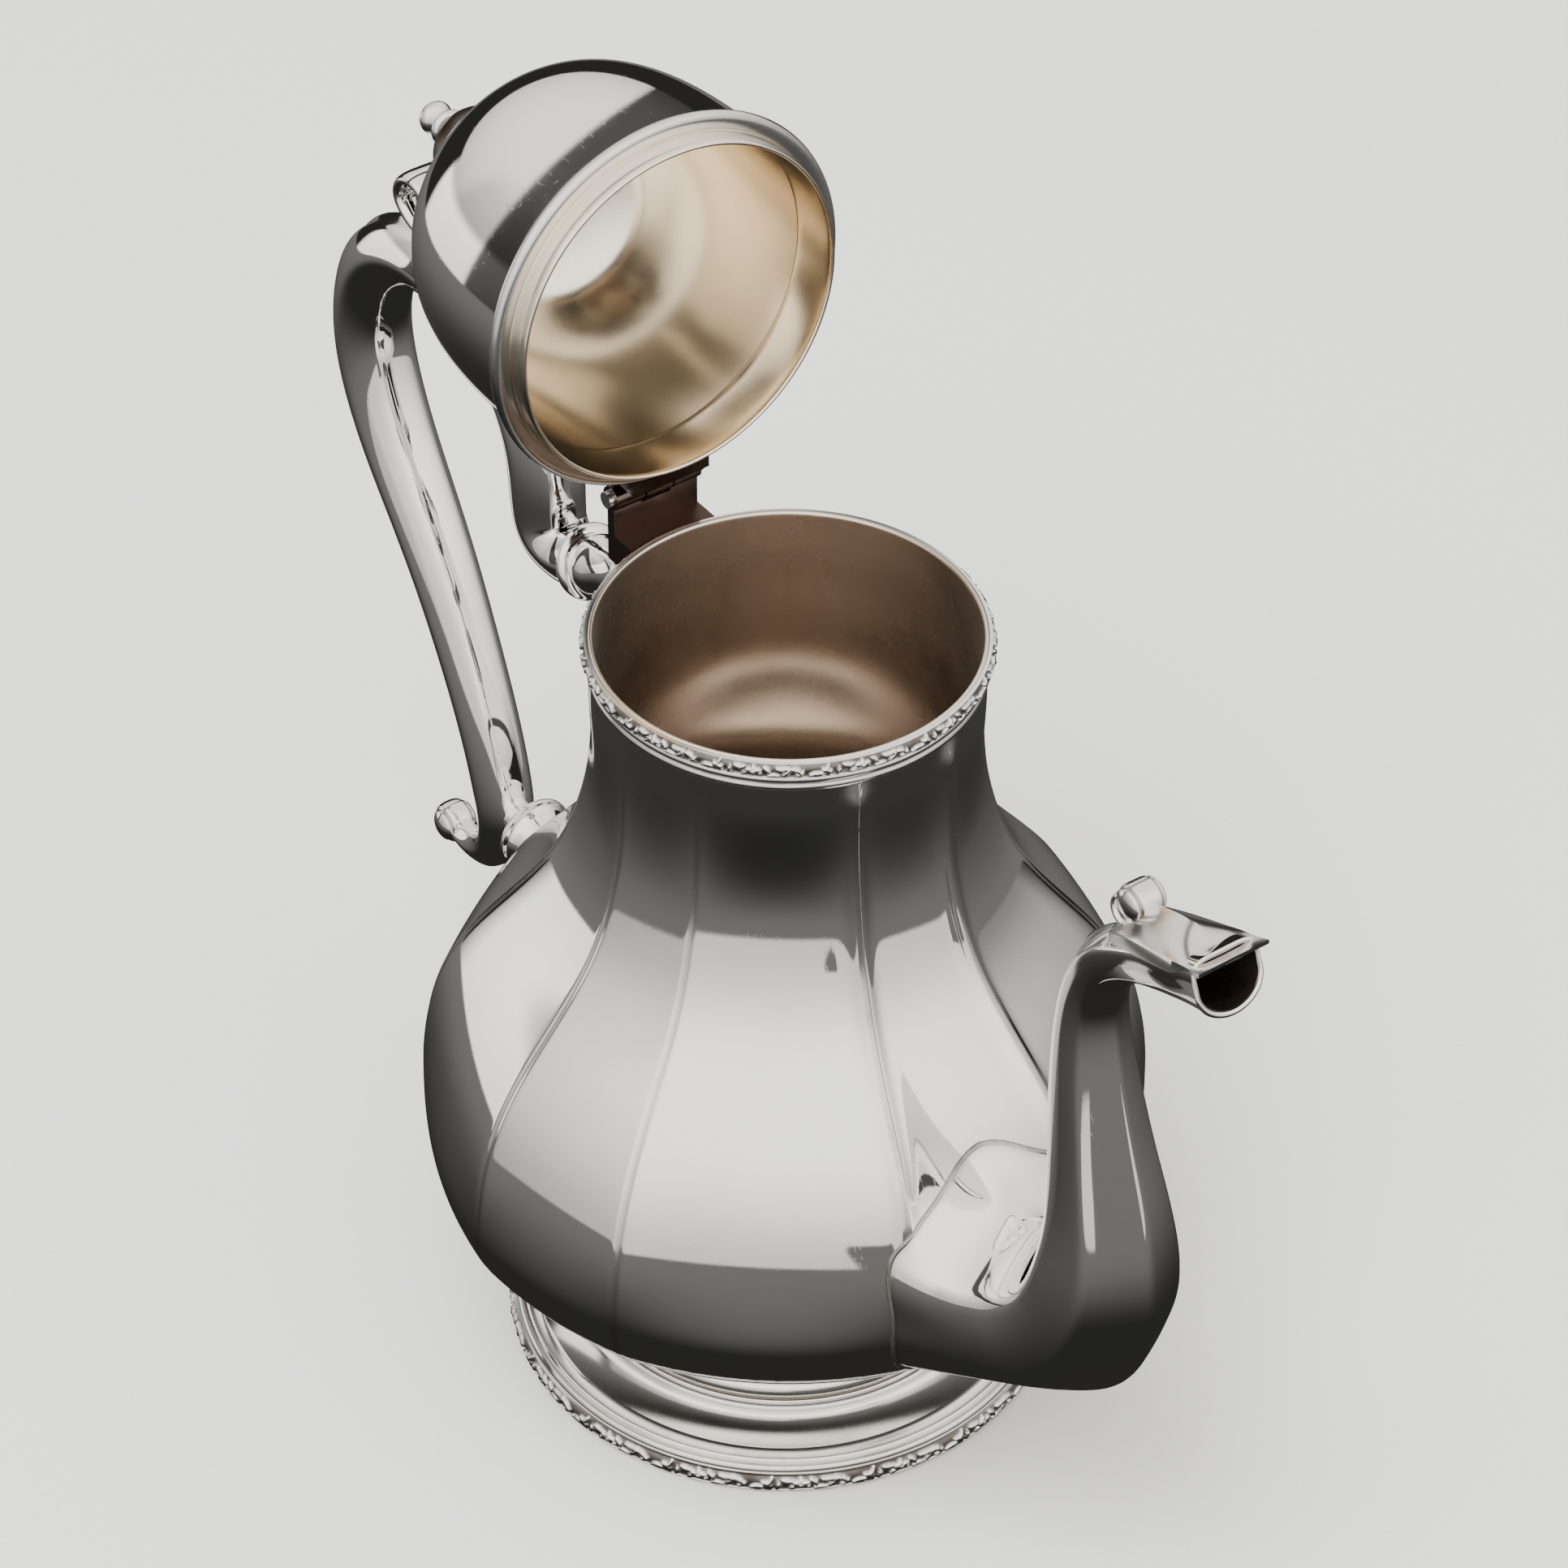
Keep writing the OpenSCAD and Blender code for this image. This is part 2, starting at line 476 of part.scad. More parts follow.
body_shell();
strainer();
body_bottom();
foot();
foot_border();
rim_border();
neck_reeds();
spout_left();
spout_right();
spout_hood();
spout_scroll();
beak_rim();
upper_socket();
upper_ferrule();
lower_socket();
lower_ferrule();
handle_left();
handle_right();
thumb_scroll();
handle_volute();
hinge_bracket();
hinge_pin();
lid_leaf();
lid_dome();
lid_lip();
lid_bezel();
finial_base();
finial_knob();
finial_stud();
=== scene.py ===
"""Looks of a panelled silver coffee pot with an open domed lid.

Lengths are millimetres until a mesh is made, and then metres. The frame is the part's own: the
origin on the table under the middle of the foot, +X to the spout, +Z up, the hinge along Y.
"""

import logging
import math
from dataclasses import dataclass, field
from enum import Enum
from typing import Optional, Union

import bmesh
import bpy
import numpy as np
from mathutils import Matrix, Vector


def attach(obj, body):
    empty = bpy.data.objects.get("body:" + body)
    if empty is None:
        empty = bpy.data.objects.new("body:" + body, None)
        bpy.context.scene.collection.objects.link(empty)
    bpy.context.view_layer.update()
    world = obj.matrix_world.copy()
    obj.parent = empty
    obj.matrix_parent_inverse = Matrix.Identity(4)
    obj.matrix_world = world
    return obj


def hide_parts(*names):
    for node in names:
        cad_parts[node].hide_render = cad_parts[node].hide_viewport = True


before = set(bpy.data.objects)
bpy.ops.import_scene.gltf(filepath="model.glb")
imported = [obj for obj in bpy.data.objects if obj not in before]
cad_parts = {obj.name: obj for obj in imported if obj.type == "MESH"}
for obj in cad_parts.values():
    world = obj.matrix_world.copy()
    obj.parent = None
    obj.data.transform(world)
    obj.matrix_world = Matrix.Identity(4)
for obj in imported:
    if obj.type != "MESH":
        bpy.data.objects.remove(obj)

log = logging.getLogger("coffee_pot")
Array = np.ndarray
Colour = tuple[float, float, float]
Span = tuple[float, float]
MM = 0.001
TURN = 2 * math.pi


class Rider(Enum):
    """The two bodies that a piece can ride on."""

    POT = "pot"
    LID = "lid"


class Slot(Enum):
    """Material slots of the part's record."""

    BODY = "silver_body"
    INSIDE = "silver_inside"
    ORNAMENT = "silver_ornament"
    DARK = "silver_dark"


# ---------------------------------------------------------------- curves and grids


def ease(value: Array) -> Array:
    """Smooth step: 3v^2 - 2v^3 for v held between 0 and 1."""
    held = np.clip(value, 0.0, 1.0)
    return held * held * (3 - 2 * held)


def blend(first: Array, second: Array, share: Array) -> Array:
    """Straight mix of two arrays."""
    return first + (second - first) * share


def smooth_through(knots: list, at: Array) -> Array:
    """Natural cubic spline through knots.

    Between two knots the value is the straight mix plus cubic terms of the second slopes, which
    come from the usual tridiagonal equations, so slope and bend are both continuous.

    Args:
        knots: rows of [place, value, ...], with places rising.
        at: places to work out.

    Returns:
        The values, one column for each value in a knot.
    """
    table = np.asarray(knots, float)
    x, y = table[:, 0], table[:, 1:]
    count, h = len(x), np.diff(x)
    inner = np.arange(1, count - 1)
    matrix = np.zeros((count, count))
    matrix[0, 0] = matrix[-1, -1] = 1
    matrix[inner, inner - 1] = h[:-1]
    matrix[inner, inner] = 2 * (h[:-1] + h[1:])
    matrix[inner, inner + 1] = h[1:]
    rise = np.diff(y, axis=0) / h[:, None]
    right = np.zeros_like(y)
    right[1:-1] = 6 * np.diff(rise, axis=0)
    bend = np.linalg.solve(matrix, right)
    at = np.atleast_1d(np.asarray(at, float))
    j = np.clip(np.searchsorted(x, at, side="right") - 1, 0, count - 2)
    a = ((x[j + 1] - at) / h[j])[:, None]
    b = 1 - a
    step = (h[j] ** 2)[:, None] / 6
    return a * y[j] + b * y[j + 1] + ((a**3 - a) * bend[j] + (b**3 - b) * bend[j + 1]) * step


def soft_polygon(angle: Array, middles: Array, halves: Array, hardness: float) -> Array:
    """Radius of a polygon with rounded corners, 1 at its sharp corners.

    Each flat is the line cos(half) / cos(angle - middle), and the flats are joined by a power
    mean, so a higher hardness gives a tighter corner.
    """
    lean = np.maximum(np.cos(angle[..., None] - middles), 1e-3) / np.cos(halves)
    return (lean**hardness).sum(axis=-1) ** (-1 / hardness)


def hexagon(angle: Array, hardness: float = 18.0) -> Array:
    """Six soft flats with arrises at 0, 60, 120 degrees and so on."""
    middles = np.radians(30 + 60 * np.arange(6))
    return soft_polygon(angle, middles, np.full(6, math.pi / 6), hardness)


def around(count: int) -> Array:
    """Angles round a closed ring, in radians."""
    return np.arange(count) * TURN / count


def from_zero(angle: Array) -> Array:
    """How far an angle is from zero, the short way round."""
    return np.abs((angle + math.pi) % TURN - math.pi)


def unit(vectors: Array) -> Array:
    """Vectors scaled to length 1."""
    return vectors / np.linalg.norm(vectors, axis=-1, keepdims=True)


def arc(first: Array, corner: Array, last: Array, u: Array) -> Array:
    """Quadratic arc: (1-u)^2 first + 2u(1-u) corner + u^2 last."""
    return (1 - u) ** 2 * first + 2 * u * (1 - u) * corner + u**2 * last


def wired(ring: Array, out: Array, lift: Array, steps: int) -> Array:
    """Rows of a thin wire round a ring: point = ring + out * cos + lift * sin."""
    turn = around(steps)[:, None, None]
    return ring + out * np.cos(turn) + lift * np.sin(turn)


def linked(name: str, data: bpy.types.ID) -> bpy.types.Object:
    """Puts a new object in the scene.

    Args:
        name: its name.
        data: what it holds, such as a mesh.

    Returns:
        The object.
    """
    thing = bpy.data.objects.new(name, data)
    bpy.context.scene.collection.objects.link(thing)
    return thing


@dataclass
class Skin:
    """A closed surface given as a grid of points, rows by columns.

    Columns always go round. Rows go round too when looped is set, and otherwise the first and
    last rows are closed on their mean points. tarnish and lining go from 0 to 1, as one number
    or as a grid that fits the points, and the finishes read them as "tarnish" and "inside".
    """

    points: Array
    looped: bool = False
    tarnish: Union[Array, float] = 0.0
    lining: Union[Array, float] = 0.0

    def faces(self) -> Array:
        """Joins each row to the next.

        Returns:
            Rows of four corner numbers.
        """
        rows, cols = self.points.shape[:2]
        number = np.arange(rows * cols).reshape(rows, cols)
        if self.looped:
            number = np.vstack([number, number[:1]])
        low, high = number[:-1], number[1:]
        quads = [low, np.roll(low, -1, 1), np.roll(high, -1, 1), high]
        return np.stack(quads, axis=-1).reshape(-1, 4)

    def caps(self) -> list[tuple[int, ...]]:
        """Closes the two ends.

        Returns:
            Rings of corner numbers, or none when the rows go round.
        """
        if self.looped:
            return []
        rows, cols = self.points.shape[:2]
        first = tuple(range(cols))
        last = tuple(range((rows - 1) * cols, rows * cols))
        return [first[::-1], last]

    def piece(self, name: str, sharp: float = 50.0) -> bpy.types.Object:
        """Makes the mesh object, merges its poles and seams, and turns its faces outwards.

        Args:
            name: name of the object.
            sharp: edges that bend more than this many degrees are shaded sharp.

        Returns:
            The new object, at the origin.
        """
        flat = self.points.reshape(-1, 3) * MM
        mesh = bpy.data.meshes.new(name)
        mesh.from_pydata(flat.tolist(), [], self.faces().tolist() + self.caps())
        for mark, values in (("tarnish", self.tarnish), ("inside", self.lining)):
            layer = mesh.attributes.new(mark, "FLOAT", "POINT")
            grid = np.broadcast_to(values, self.points.shape[:2])
            layer.data.foreach_set("value", grid.astype(np.float32).ravel())
        work = bmesh.new()
        work.from_mesh(mesh)
        bmesh.ops.remove_doubles(work, verts=work.verts, dist=2e-6)
        ends = [f for f in work.faces if len(f.verts) > 4]
        if ends:
            bmesh.ops.poke(work, faces=ends)
        bmesh.ops.dissolve_degenerate(work, edges=work.edges, dist=1e-7)
        bmesh.ops.recalc_face_normals(work, faces=work.faces)
        work.to_mesh(mesh)
        work.free()
        mesh.polygons.foreach_set("use_smooth", np.ones(len(mesh.polygons), dtype=bool))
        mesh.set_sharp_from_angle(angle=math.radians(sharp))
        return linked(name, mesh)


def spun(outline: Array, columns: int = 192, swell: Optional[Array] = None) -> Array:
    """Turns an outline of [radius, height] about Z: x = r cos a, y = r sin a.

    Args:
        outline: rows of radius and height.
        columns: steps round the circle.
        swell: radius to add, one number for each row and column.

    Returns:
        A grid of points.
    """
    angle = around(columns)
    radius = outline[:, :1] + (0 if swell is None else swell)
    radius = np.broadcast_to(radius, (len(outline), columns))
    height = np.broadcast_to(outline[:, 1:2], (len(outline), columns))
    return np.stack([radius * np.cos(angle), radius * np.sin(angle), height], axis=-1)


def rounded(corners: list, steps: int = 5, keep: float = 0.35) -> Array:
    """Outline with its corners rounded.

    Each corner becomes a quadratic arc that starts and ends at a share, keep, of the way to its
    neighbours.

    Args:
        corners: rows of two numbers.
        steps: points on each arc.
        keep: the share.

    Returns:
        The points of the outline.
    """
    p = np.asarray(corners, float)
    before = blend(p, np.roll(p, 1, 0), keep)
    after = blend(p, np.roll(p, -1, 0), keep)
    before[0], after[-1] = p[0], p[-1]
    u = np.linspace(0, 1, steps)[None, :, None]
    return arc(before[:, None], p[:, None], after[:, None], u).reshape(-1, 2)


@dataclass
class PlanePath:
    """A smooth line in the XZ plane through knots of [t, x, z]."""

    knots: list

    def point(self, t: Array) -> Array:
        """Points of the line."""
        flat = smooth_through(self.knots, t)
        return np.stack([flat[:, 0], np.zeros(len(flat)), flat[:, 1]], axis=-1)

    def along(self, t: Array) -> Array:
        """Unit vectors along the line."""
        near = 0.01
        return unit(self.point(np.asarray(t) + near) - self.point(np.asarray(t) - near))

    def side(self, t: Array) -> Array:
        """Unit vectors in the plane, to the right of the line."""
        way = self.along(t)
        return np.stack([way[:, 2], way[:, 1], -way[:, 0]], axis=-1)

    def tube(self, t: Array, in_plane: Array, across: Array, forward: Optional[Array] = None) -> Array:
        """Rings round the line: point = line + side * in_plane + Y * across + along * forward.

        Args:
            t: places on the line.
            in_plane: a grid of offsets, with a row for each place, as are the next two.
            across: offsets along Y.
            forward: offsets along the line, if there are any.

        Returns:
            A grid of points.
        """
        rings = self.point(t)[:, None] + self.side(t)[:, None] * in_plane[..., None]
        rings = rings + np.array([0.0, 1.0, 0.0]) * across[..., None]
        if forward is not None:
            rings = rings + self.along(t)[:, None] * forward[..., None]
        return rings


@dataclass(frozen=True)
class Lobe:
    """One leaf lobe of the embossed ornament, an arc that tapers to its tip.

    u and v are its root along and across the band, as shares of the repeat and of the width;
    heading and curl are degrees; length and width are in widths of the band.
    """

    u: float
    v: float
    heading: float
    length: float
    curl: float
    width: float
    height: float = 1.0


# A C-scroll with a curled end, a five-lobed flower cluster, and small leaves between them
LEAF_BAND: tuple[Lobe, ...] = (
    Lobe(0.02, 0.22, 35, 1.15, -95, 0.20), Lobe(0.06, 0.12, 12, 1.35, 70, 0.17),
    Lobe(0.14, 0.62, -10, 0.95, -130, 0.20), Lobe(0.20, 0.50, -60, 0.40, -200, 0.16),
    Lobe(0.27, 0.18, 60, 0.55, 40, 0.15), Lobe(0.33, 0.80, -25, 0.60, 45, 0.15),
    Lobe(0.40, 0.20, 20, 0.60, 60, 0.16), Lobe(0.50, 0.50, 150, 0.50, 30, 0.17),
    Lobe(0.50, 0.50, 90, 0.42, 0, 0.17), Lobe(0.50, 0.50, 30, 0.50, -30, 0.17),
    Lobe(0.50, 0.46, 205, 0.48, -30, 0.16), Lobe(0.50, 0.46, -25, 0.48, 30, 0.16),
    Lobe(0.50, 0.48, 0, 0.05, 0, 0.17, 1.25), Lobe(0.60, 0.82, -30, 0.60, -50, 0.15),
    Lobe(0.64, 0.16, 30, 0.75, -60, 0.16), Lobe(0.72, 0.78, -20, 0.75, 60, 0.17),
    Lobe(0.78, 0.26, 40, 0.75, 50, 0.17), Lobe(0.86, 0.74, 0, 0.60, -70, 0.17),
    Lobe(0.90, 0.24, 15, 0.55, 60, 0.15),
)


def leaf_relief(repeat: float, width: float, columns: int, rows: int) -> Array:
    """Height of one repeat of the ornament, from 0 to about 1.

    The height at a place is the largest, over all lobes, of a half-round ridge about the lobe's
    arc, sqrt(1 - (distance / half width)^2), whose half width tapers to the tip; a fine vein is
    cut along the arc.

    Args:
        repeat: length of one repeat in millimetres.
        width: width of the band in millimetres.
        columns: steps along the repeat.
        rows: steps across the band.

    Returns:
        A grid of heights, rows by columns.
    """
    u = (np.arange(columns) + 0.5) / columns * repeat
    v = (np.arange(rows) + 0.5) / rows * width
    across, along = np.meshgrid(v, u, indexing="ij")
    table = np.array([[b.u, b.v, b.heading, b.length, b.curl, b.width, b.height] for b in LEAF_BAND])
    share = np.linspace(0, 1, 15)
    turn = np.radians(table[:, 2, None] + table[:, 4, None] * share)
    step = table[:, 3, None] * width / 14
    x = table[:, 0, None] * repeat + np.cumsum(np.cos(turn) * step, axis=1) - np.cos(turn[:, :1]) * step
    y = table[:, 1, None] * width + np.cumsum(np.sin(turn) * step, axis=1) - np.sin(turn[:, :1]) * step
    taper = np.sqrt(np.clip(1.06 - share, 0, 1)) * (0.72 + 0.5 * np.sin(math.pi * share))
    half = table[:, 5, None] * width * taper
    gap_x = along[..., None, None] - x
    gap_x = gap_x - repeat * np.round(gap_x / repeat)
    distance = np.hypot(gap_x, across[..., None, None] - y)
    ridge = np.sqrt(np.clip(1 - (distance / half) ** 2, 0, 1)) * table[:, 6, None]
    vein = 0.22 * np.exp(-((distance.min(axis=-1) / (0.035 * width)) ** 2))
    return np.max(ridge.max(axis=-1) - vein, axis=-1).clip(0)


# ---------------------------------------------------------------- finishes


class Wire:
    """A shader socket that can stand in a Python expression; each operation adds a Math node."""

    def __init__(self, graph: "Graph", socket: bpy.types.NodeSocket) -> None:
        """Keeps the graph and its socket."""
        self.graph = graph
        self.socket = socket

    def _with(self, operation: str, first: "Value", second: "Value") -> "Wire":
        """One Math node on two values."""
        made = self.graph.node("ShaderNodeMath", {"operation": operation}, {0: first, 1: second})
        return Wire(self.graph, made.outputs[0])

    def __add__(self, other: "Value") -> "Wire":
        """self + other"""
        return self._with("ADD", self, other)

    def __sub__(self, other: "Value") -> "Wire":
        """self - other"""
        return self._with("SUBTRACT", self, other)

    def __rsub__(self, other: "Value") -> "Wire":
        """other - self"""
        return self._with("SUBTRACT", other, self)

    def __mul__(self, other: "Value") -> "Wire":
        """self * other"""
        return self._with("MULTIPLY", self, other)

    __radd__ = __add__
    __rmul__ = __mul__

    def __pow__(self, other: "Value") -> "Wire":
        """self ** other"""
        return self._with("POWER", self, other)

    def step(self, low: float, high: float) -> "Wire":
        """Smooth step.

        Args:
            low: where it is 0.
            high: where it reaches 1.

        Returns:
            The stepped value.
        """
        made = self.graph.node("ShaderNodeMapRange", {"interpolation_type": "SMOOTHSTEP"},
                               {"Value": self, "From Min": low, "From Max": high})
        return Wire(self.graph, made.outputs[0])


Value = Union[Wire, float, int, tuple, bpy.types.NodeSocket]


class Graph:
    """The node tree of a material or a world, emptied and ready to build on."""

    def __init__(self, holder: Union[bpy.types.Material, bpy.types.World]) -> None:
        """Turns on the holder's nodes and empties them."""
        holder.use_nodes = True
        self.tree = holder.node_tree
        self.tree.nodes.clear()

    def node(self, kind: str, settings: dict, inputs: dict) -> bpy.types.Node:
        """Adds any node.

        Args:
            kind: the node's type.
            settings: its properties, set first; "stops" is a ramp's list of (place, colour).
            inputs: values or wires for its sockets, by name or number.

        Returns:
            The node.
        """
        made = self.tree.nodes.new(kind)
        for key, value in settings.items():
            if key == "stops":
                ramp = made.color_ramp
                while len(ramp.elements) < len(value):
                    ramp.elements.new(0.5)
                for element, (place, colour) in zip(ramp.elements, value):
                    element.position, element.color = place, (*colour, 1.0)
            else:
                setattr(made, key, value)
        for key, value in inputs.items():
            socket = made.inputs[key]
            if isinstance(value, Wire):
                self.tree.links.new(value.socket, socket)
            elif isinstance(value, bpy.types.NodeSocket):
                self.tree.links.new(value, socket)
            elif socket.type == "RGBA" and isinstance(value, tuple):
                socket.default_value = (*value, 1.0)
            else:
                socket.default_value = value
        return made

    def wire(self, kind: str, settings: dict, inputs: dict, out: Union[int, str] = 0) -> Wire:
        """Adds a node and returns one of its outputs."""
        return Wire(self, self.node(kind, settings, inputs).outputs[out])

    def mix(self, share: Value, first: Value, second: Value) -> Wire:
        """Mix of two colours."""
        made = self.node("ShaderNodeMix", {"data_type": "RGBA"}, {0: share, 6: first, 7: second})
        return Wire(self, made.outputs[2])

    def noise(self, place: Value, scale: float, detail: float = 3.0, rough: float = 0.5) -> Wire:
        """Noise from 0 to 1."""
        return self.wire("ShaderNodeTexNoise", {}, {"Vector": place, "Scale": scale,
                                                   "Detail": detail, "Roughness": rough})

    def stretched(self, place: Value, scale: tuple[float, float, float], turn: float) -> Wire:
        """Coordinates turned about Z and scaled unevenly, for scratches."""
        return self.wire("ShaderNodeMapping", {}, {"Vector": place, "Scale": scale,
                                                  "Rotation": (0.3, 0.2, turn)})


@dataclass
class Coat:
    """Wires of one finish before they reach the shader."""

    colour: Wire
    rough: Wire
    height: Wire


@dataclass(frozen=True)
class Finish:
    """A worked silver surface.

    metal is the clean colour, which drifts towards warmth in broad patches, and stain the
    tarnish; gloss and dull are their roughness; cloud is how much the gloss wanders, scratch and
    speck how deep the marks are, soil how much tarnish lies on open surfaces, and dent how far
    the sheet waves.
    """

    metal: Colour
    stain: Colour
    gloss: float
    dull: float
    cloud: float = 0.03
    scratch: float = 0.5
    speck: float = 0.3
    soil: float = 0.0
    dent: float = 0.0
    warmth: Colour = (0.875, 0.855, 0.80)

    def coat(self, g: Graph, place: Wire, tarnish: Wire) -> Coat:
        """Works out colour, roughness and height.

        Args:
            g: graph to add to.
            place: object coordinates, in metres.
            tarnish: how deep in a recess the surface lies, from 0 to 1.

        Returns:
            The three wires.
        """
        haze = g.noise(place, 26.0, 4.0, 0.55)
        drift = g.noise(place, 90.0, 5.0, 0.65)
        fine = g.noise(g.stretched(place, (260.0, 2600.0, 420.0), 0.4), 1.0, 2.0)
        cross = g.noise(g.stretched(place, (1900.0, 160.0, 700.0), 1.1), 1.0, 2.0)
        lines = fine.step(0.64, 0.74) * 0.6 + cross.step(0.66, 0.76) * 0.4
        dots = g.noise(place, 700.0, 2.0).step(0.68, 0.80)
        dirt = tarnish + drift.step(0.45, 0.8) * tarnish * 0.8 + haze.step(0.5, 0.85) * self.soil
        dirt = g.wire("ShaderNodeClamp", {}, {"Value": dirt + dots * self.soil * 0.4})
        clean = g.mix(haze.step(0.42, 0.72) * 0.8, self.metal, self.warmth)
        colour = g.mix(dirt, clean, self.stain)
        colour = g.mix(drift.step(0.4, 0.8) * 0.10, colour, tuple(0.86 * c for c in self.metal))
        rough = (self.gloss + haze.step(0.35, 0.75) * self.cloud + lines * self.cloud
                 + dirt * (self.dull - self.gloss))
        height = lines * -0.5 * self.scratch + dots * -0.6 * self.speck + drift * 0.12
        if self.dent:
            height = height + g.noise(place, 34.0, 1.0) * self.dent
        return Coat(colour, rough, height)


def dressed(name: str, finish: Finish, lining: Optional[Finish] = None) -> bpy.types.Material:
    """Makes a metal material, with a second finish where the "inside" mark is 1.

    Args:
        name: the material's name.
        finish: what the outside has.
        lining: what the inside has, if it differs.

    Returns:
        The material.
    """
    made = bpy.data.materials.new(name)
    g = Graph(made)
    place = g.wire("ShaderNodeTexCoord", {}, {}, "Object")
    tarnish = g.wire("ShaderNodeAttribute", {"attribute_name": "tarnish"}, {}, "Fac")
    coat = finish.coat(g, place, tarnish)
    if lining is not None:
        inside = g.wire("ShaderNodeAttribute", {"attribute_name": "inside"}, {}, "Fac")
        within = lining.coat(g, place, tarnish)
        keep = 1 - inside
        coat = Coat(g.mix(inside, coat.colour, within.colour),
                    coat.rough * keep + within.rough * inside,
                    coat.height * keep + within.height * inside)
    bump = g.wire("ShaderNodeBump", {}, {"Strength": 0.25, "Distance": 0.00004, "Height": coat.height})
    shader = g.wire("ShaderNodeBsdfPrincipled", {}, {
        "Base Color": coat.colour, "Metallic": 1.0, "Roughness": coat.rough, "Normal": bump})
    g.node("ShaderNodeOutputMaterial", {}, {"Surface": shader})
    return made


POLISHED = Finish((0.90, 0.895, 0.885), (0.32, 0.25, 0.19), 0.022, 0.34, 0.035, dent=1.5)
CHASED = Finish((0.80, 0.79, 0.77), (0.16, 0.125, 0.105), 0.16, 0.42, 0.06, soil=0.12)
SPUN = Finish((0.90, 0.89, 0.875), (0.30, 0.24, 0.19), 0.10, 0.36, 0.06, soil=0.05, dent=1.0)
WARM = Finish((0.92, 0.83, 0.69), (0.66, 0.50, 0.36), 0.13, 0.28, 0.07, soil=0.18, speck=0.15, dent=9.0,
              warmth=(0.91, 0.79, 0.62))
STEEPED = Finish((0.86, 0.77, 0.68), (0.66, 0.53, 0.44), 0.23, 0.34, 0.07, soil=0.20, speck=0.2,
                 warmth=(0.83, 0.72, 0.62))
OXIDISED = Finish((0.17, 0.125, 0.10), (0.05, 0.035, 0.03), 0.20, 0.5, 0.12, soil=0.6, speck=1.0,
                  warmth=(0.20, 0.13, 0.10))
# Near-black brown silver: painted shadow for the hinge bracket and lid leaf, which lie in shade
PAINTED_SHADOW = Finish((0.14, 0.105, 0.09), (0.045, 0.033, 0.028), 0.18, 0.5, 0.10, soil=0.9, speck=1.0,
                  warmth=(0.17, 0.105, 0.08))


class Wardrobe:
    """The materials of the pot, made once and shared by its pieces."""

    def __init__(self) -> None:
        """Makes every material."""
        self.body = dressed("polished_silver", POLISHED, STEEPED)
        self.lid = dressed("lid_silver", POLISHED, WARM)
        self.chased = dressed("chased_silver", CHASED)
        self.spun = dressed("spun_silver", SPUN)
        self.warm = dressed("warm_silver", WARM)
        self.steeped = dressed("steeped_silver", STEEPED)
        self.dark = dressed("oxidised_silver", OXIDISED)
        # painted shadow: the hinge is coloured near-black where it lies in shade
        self.hinge_shadow = dressed("hinge_shadow_silver", PAINTED_SHADOW)


def place(thing: bpy.types.Object, finish: bpy.types.Material, nodes: tuple[str, ...] = (),
          slot: Slot = Slot.BODY, body: Rider = Rider.POT) -> None:
    """Gives a piece its material and body.

    Args:
        thing: the piece.
        finish: its material.
        nodes: the CAD nodes it stands for.
        slot: its slot in the record; not used.
        body: the body it rides on.
    """
    thing.data.materials.clear()
    thing.data.materials.append(finish)
    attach(thing, body.value)
    if nodes:
        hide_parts(*nodes)
    log.info("%s: %d faces on %s", thing.name, len(thing.data.polygons), body.value)


def redress(finish: bpy.types.Material, *nodes: str) -> None:
    """Gives CAD nodes a better material in each of their slots.

    Args:
        finish: the material.
        nodes: names of the nodes.
    """
    for node in nodes:
        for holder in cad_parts[node].material_slots:
            holder.material = finish
        log.info("%s: keeps its shape", node)


# ---------------------------------------------------------------- the pot


@dataclass
class Part:
    """A sub-assembly, which takes its materials from the wardrobe."""

    wardrobe: Wardrobe


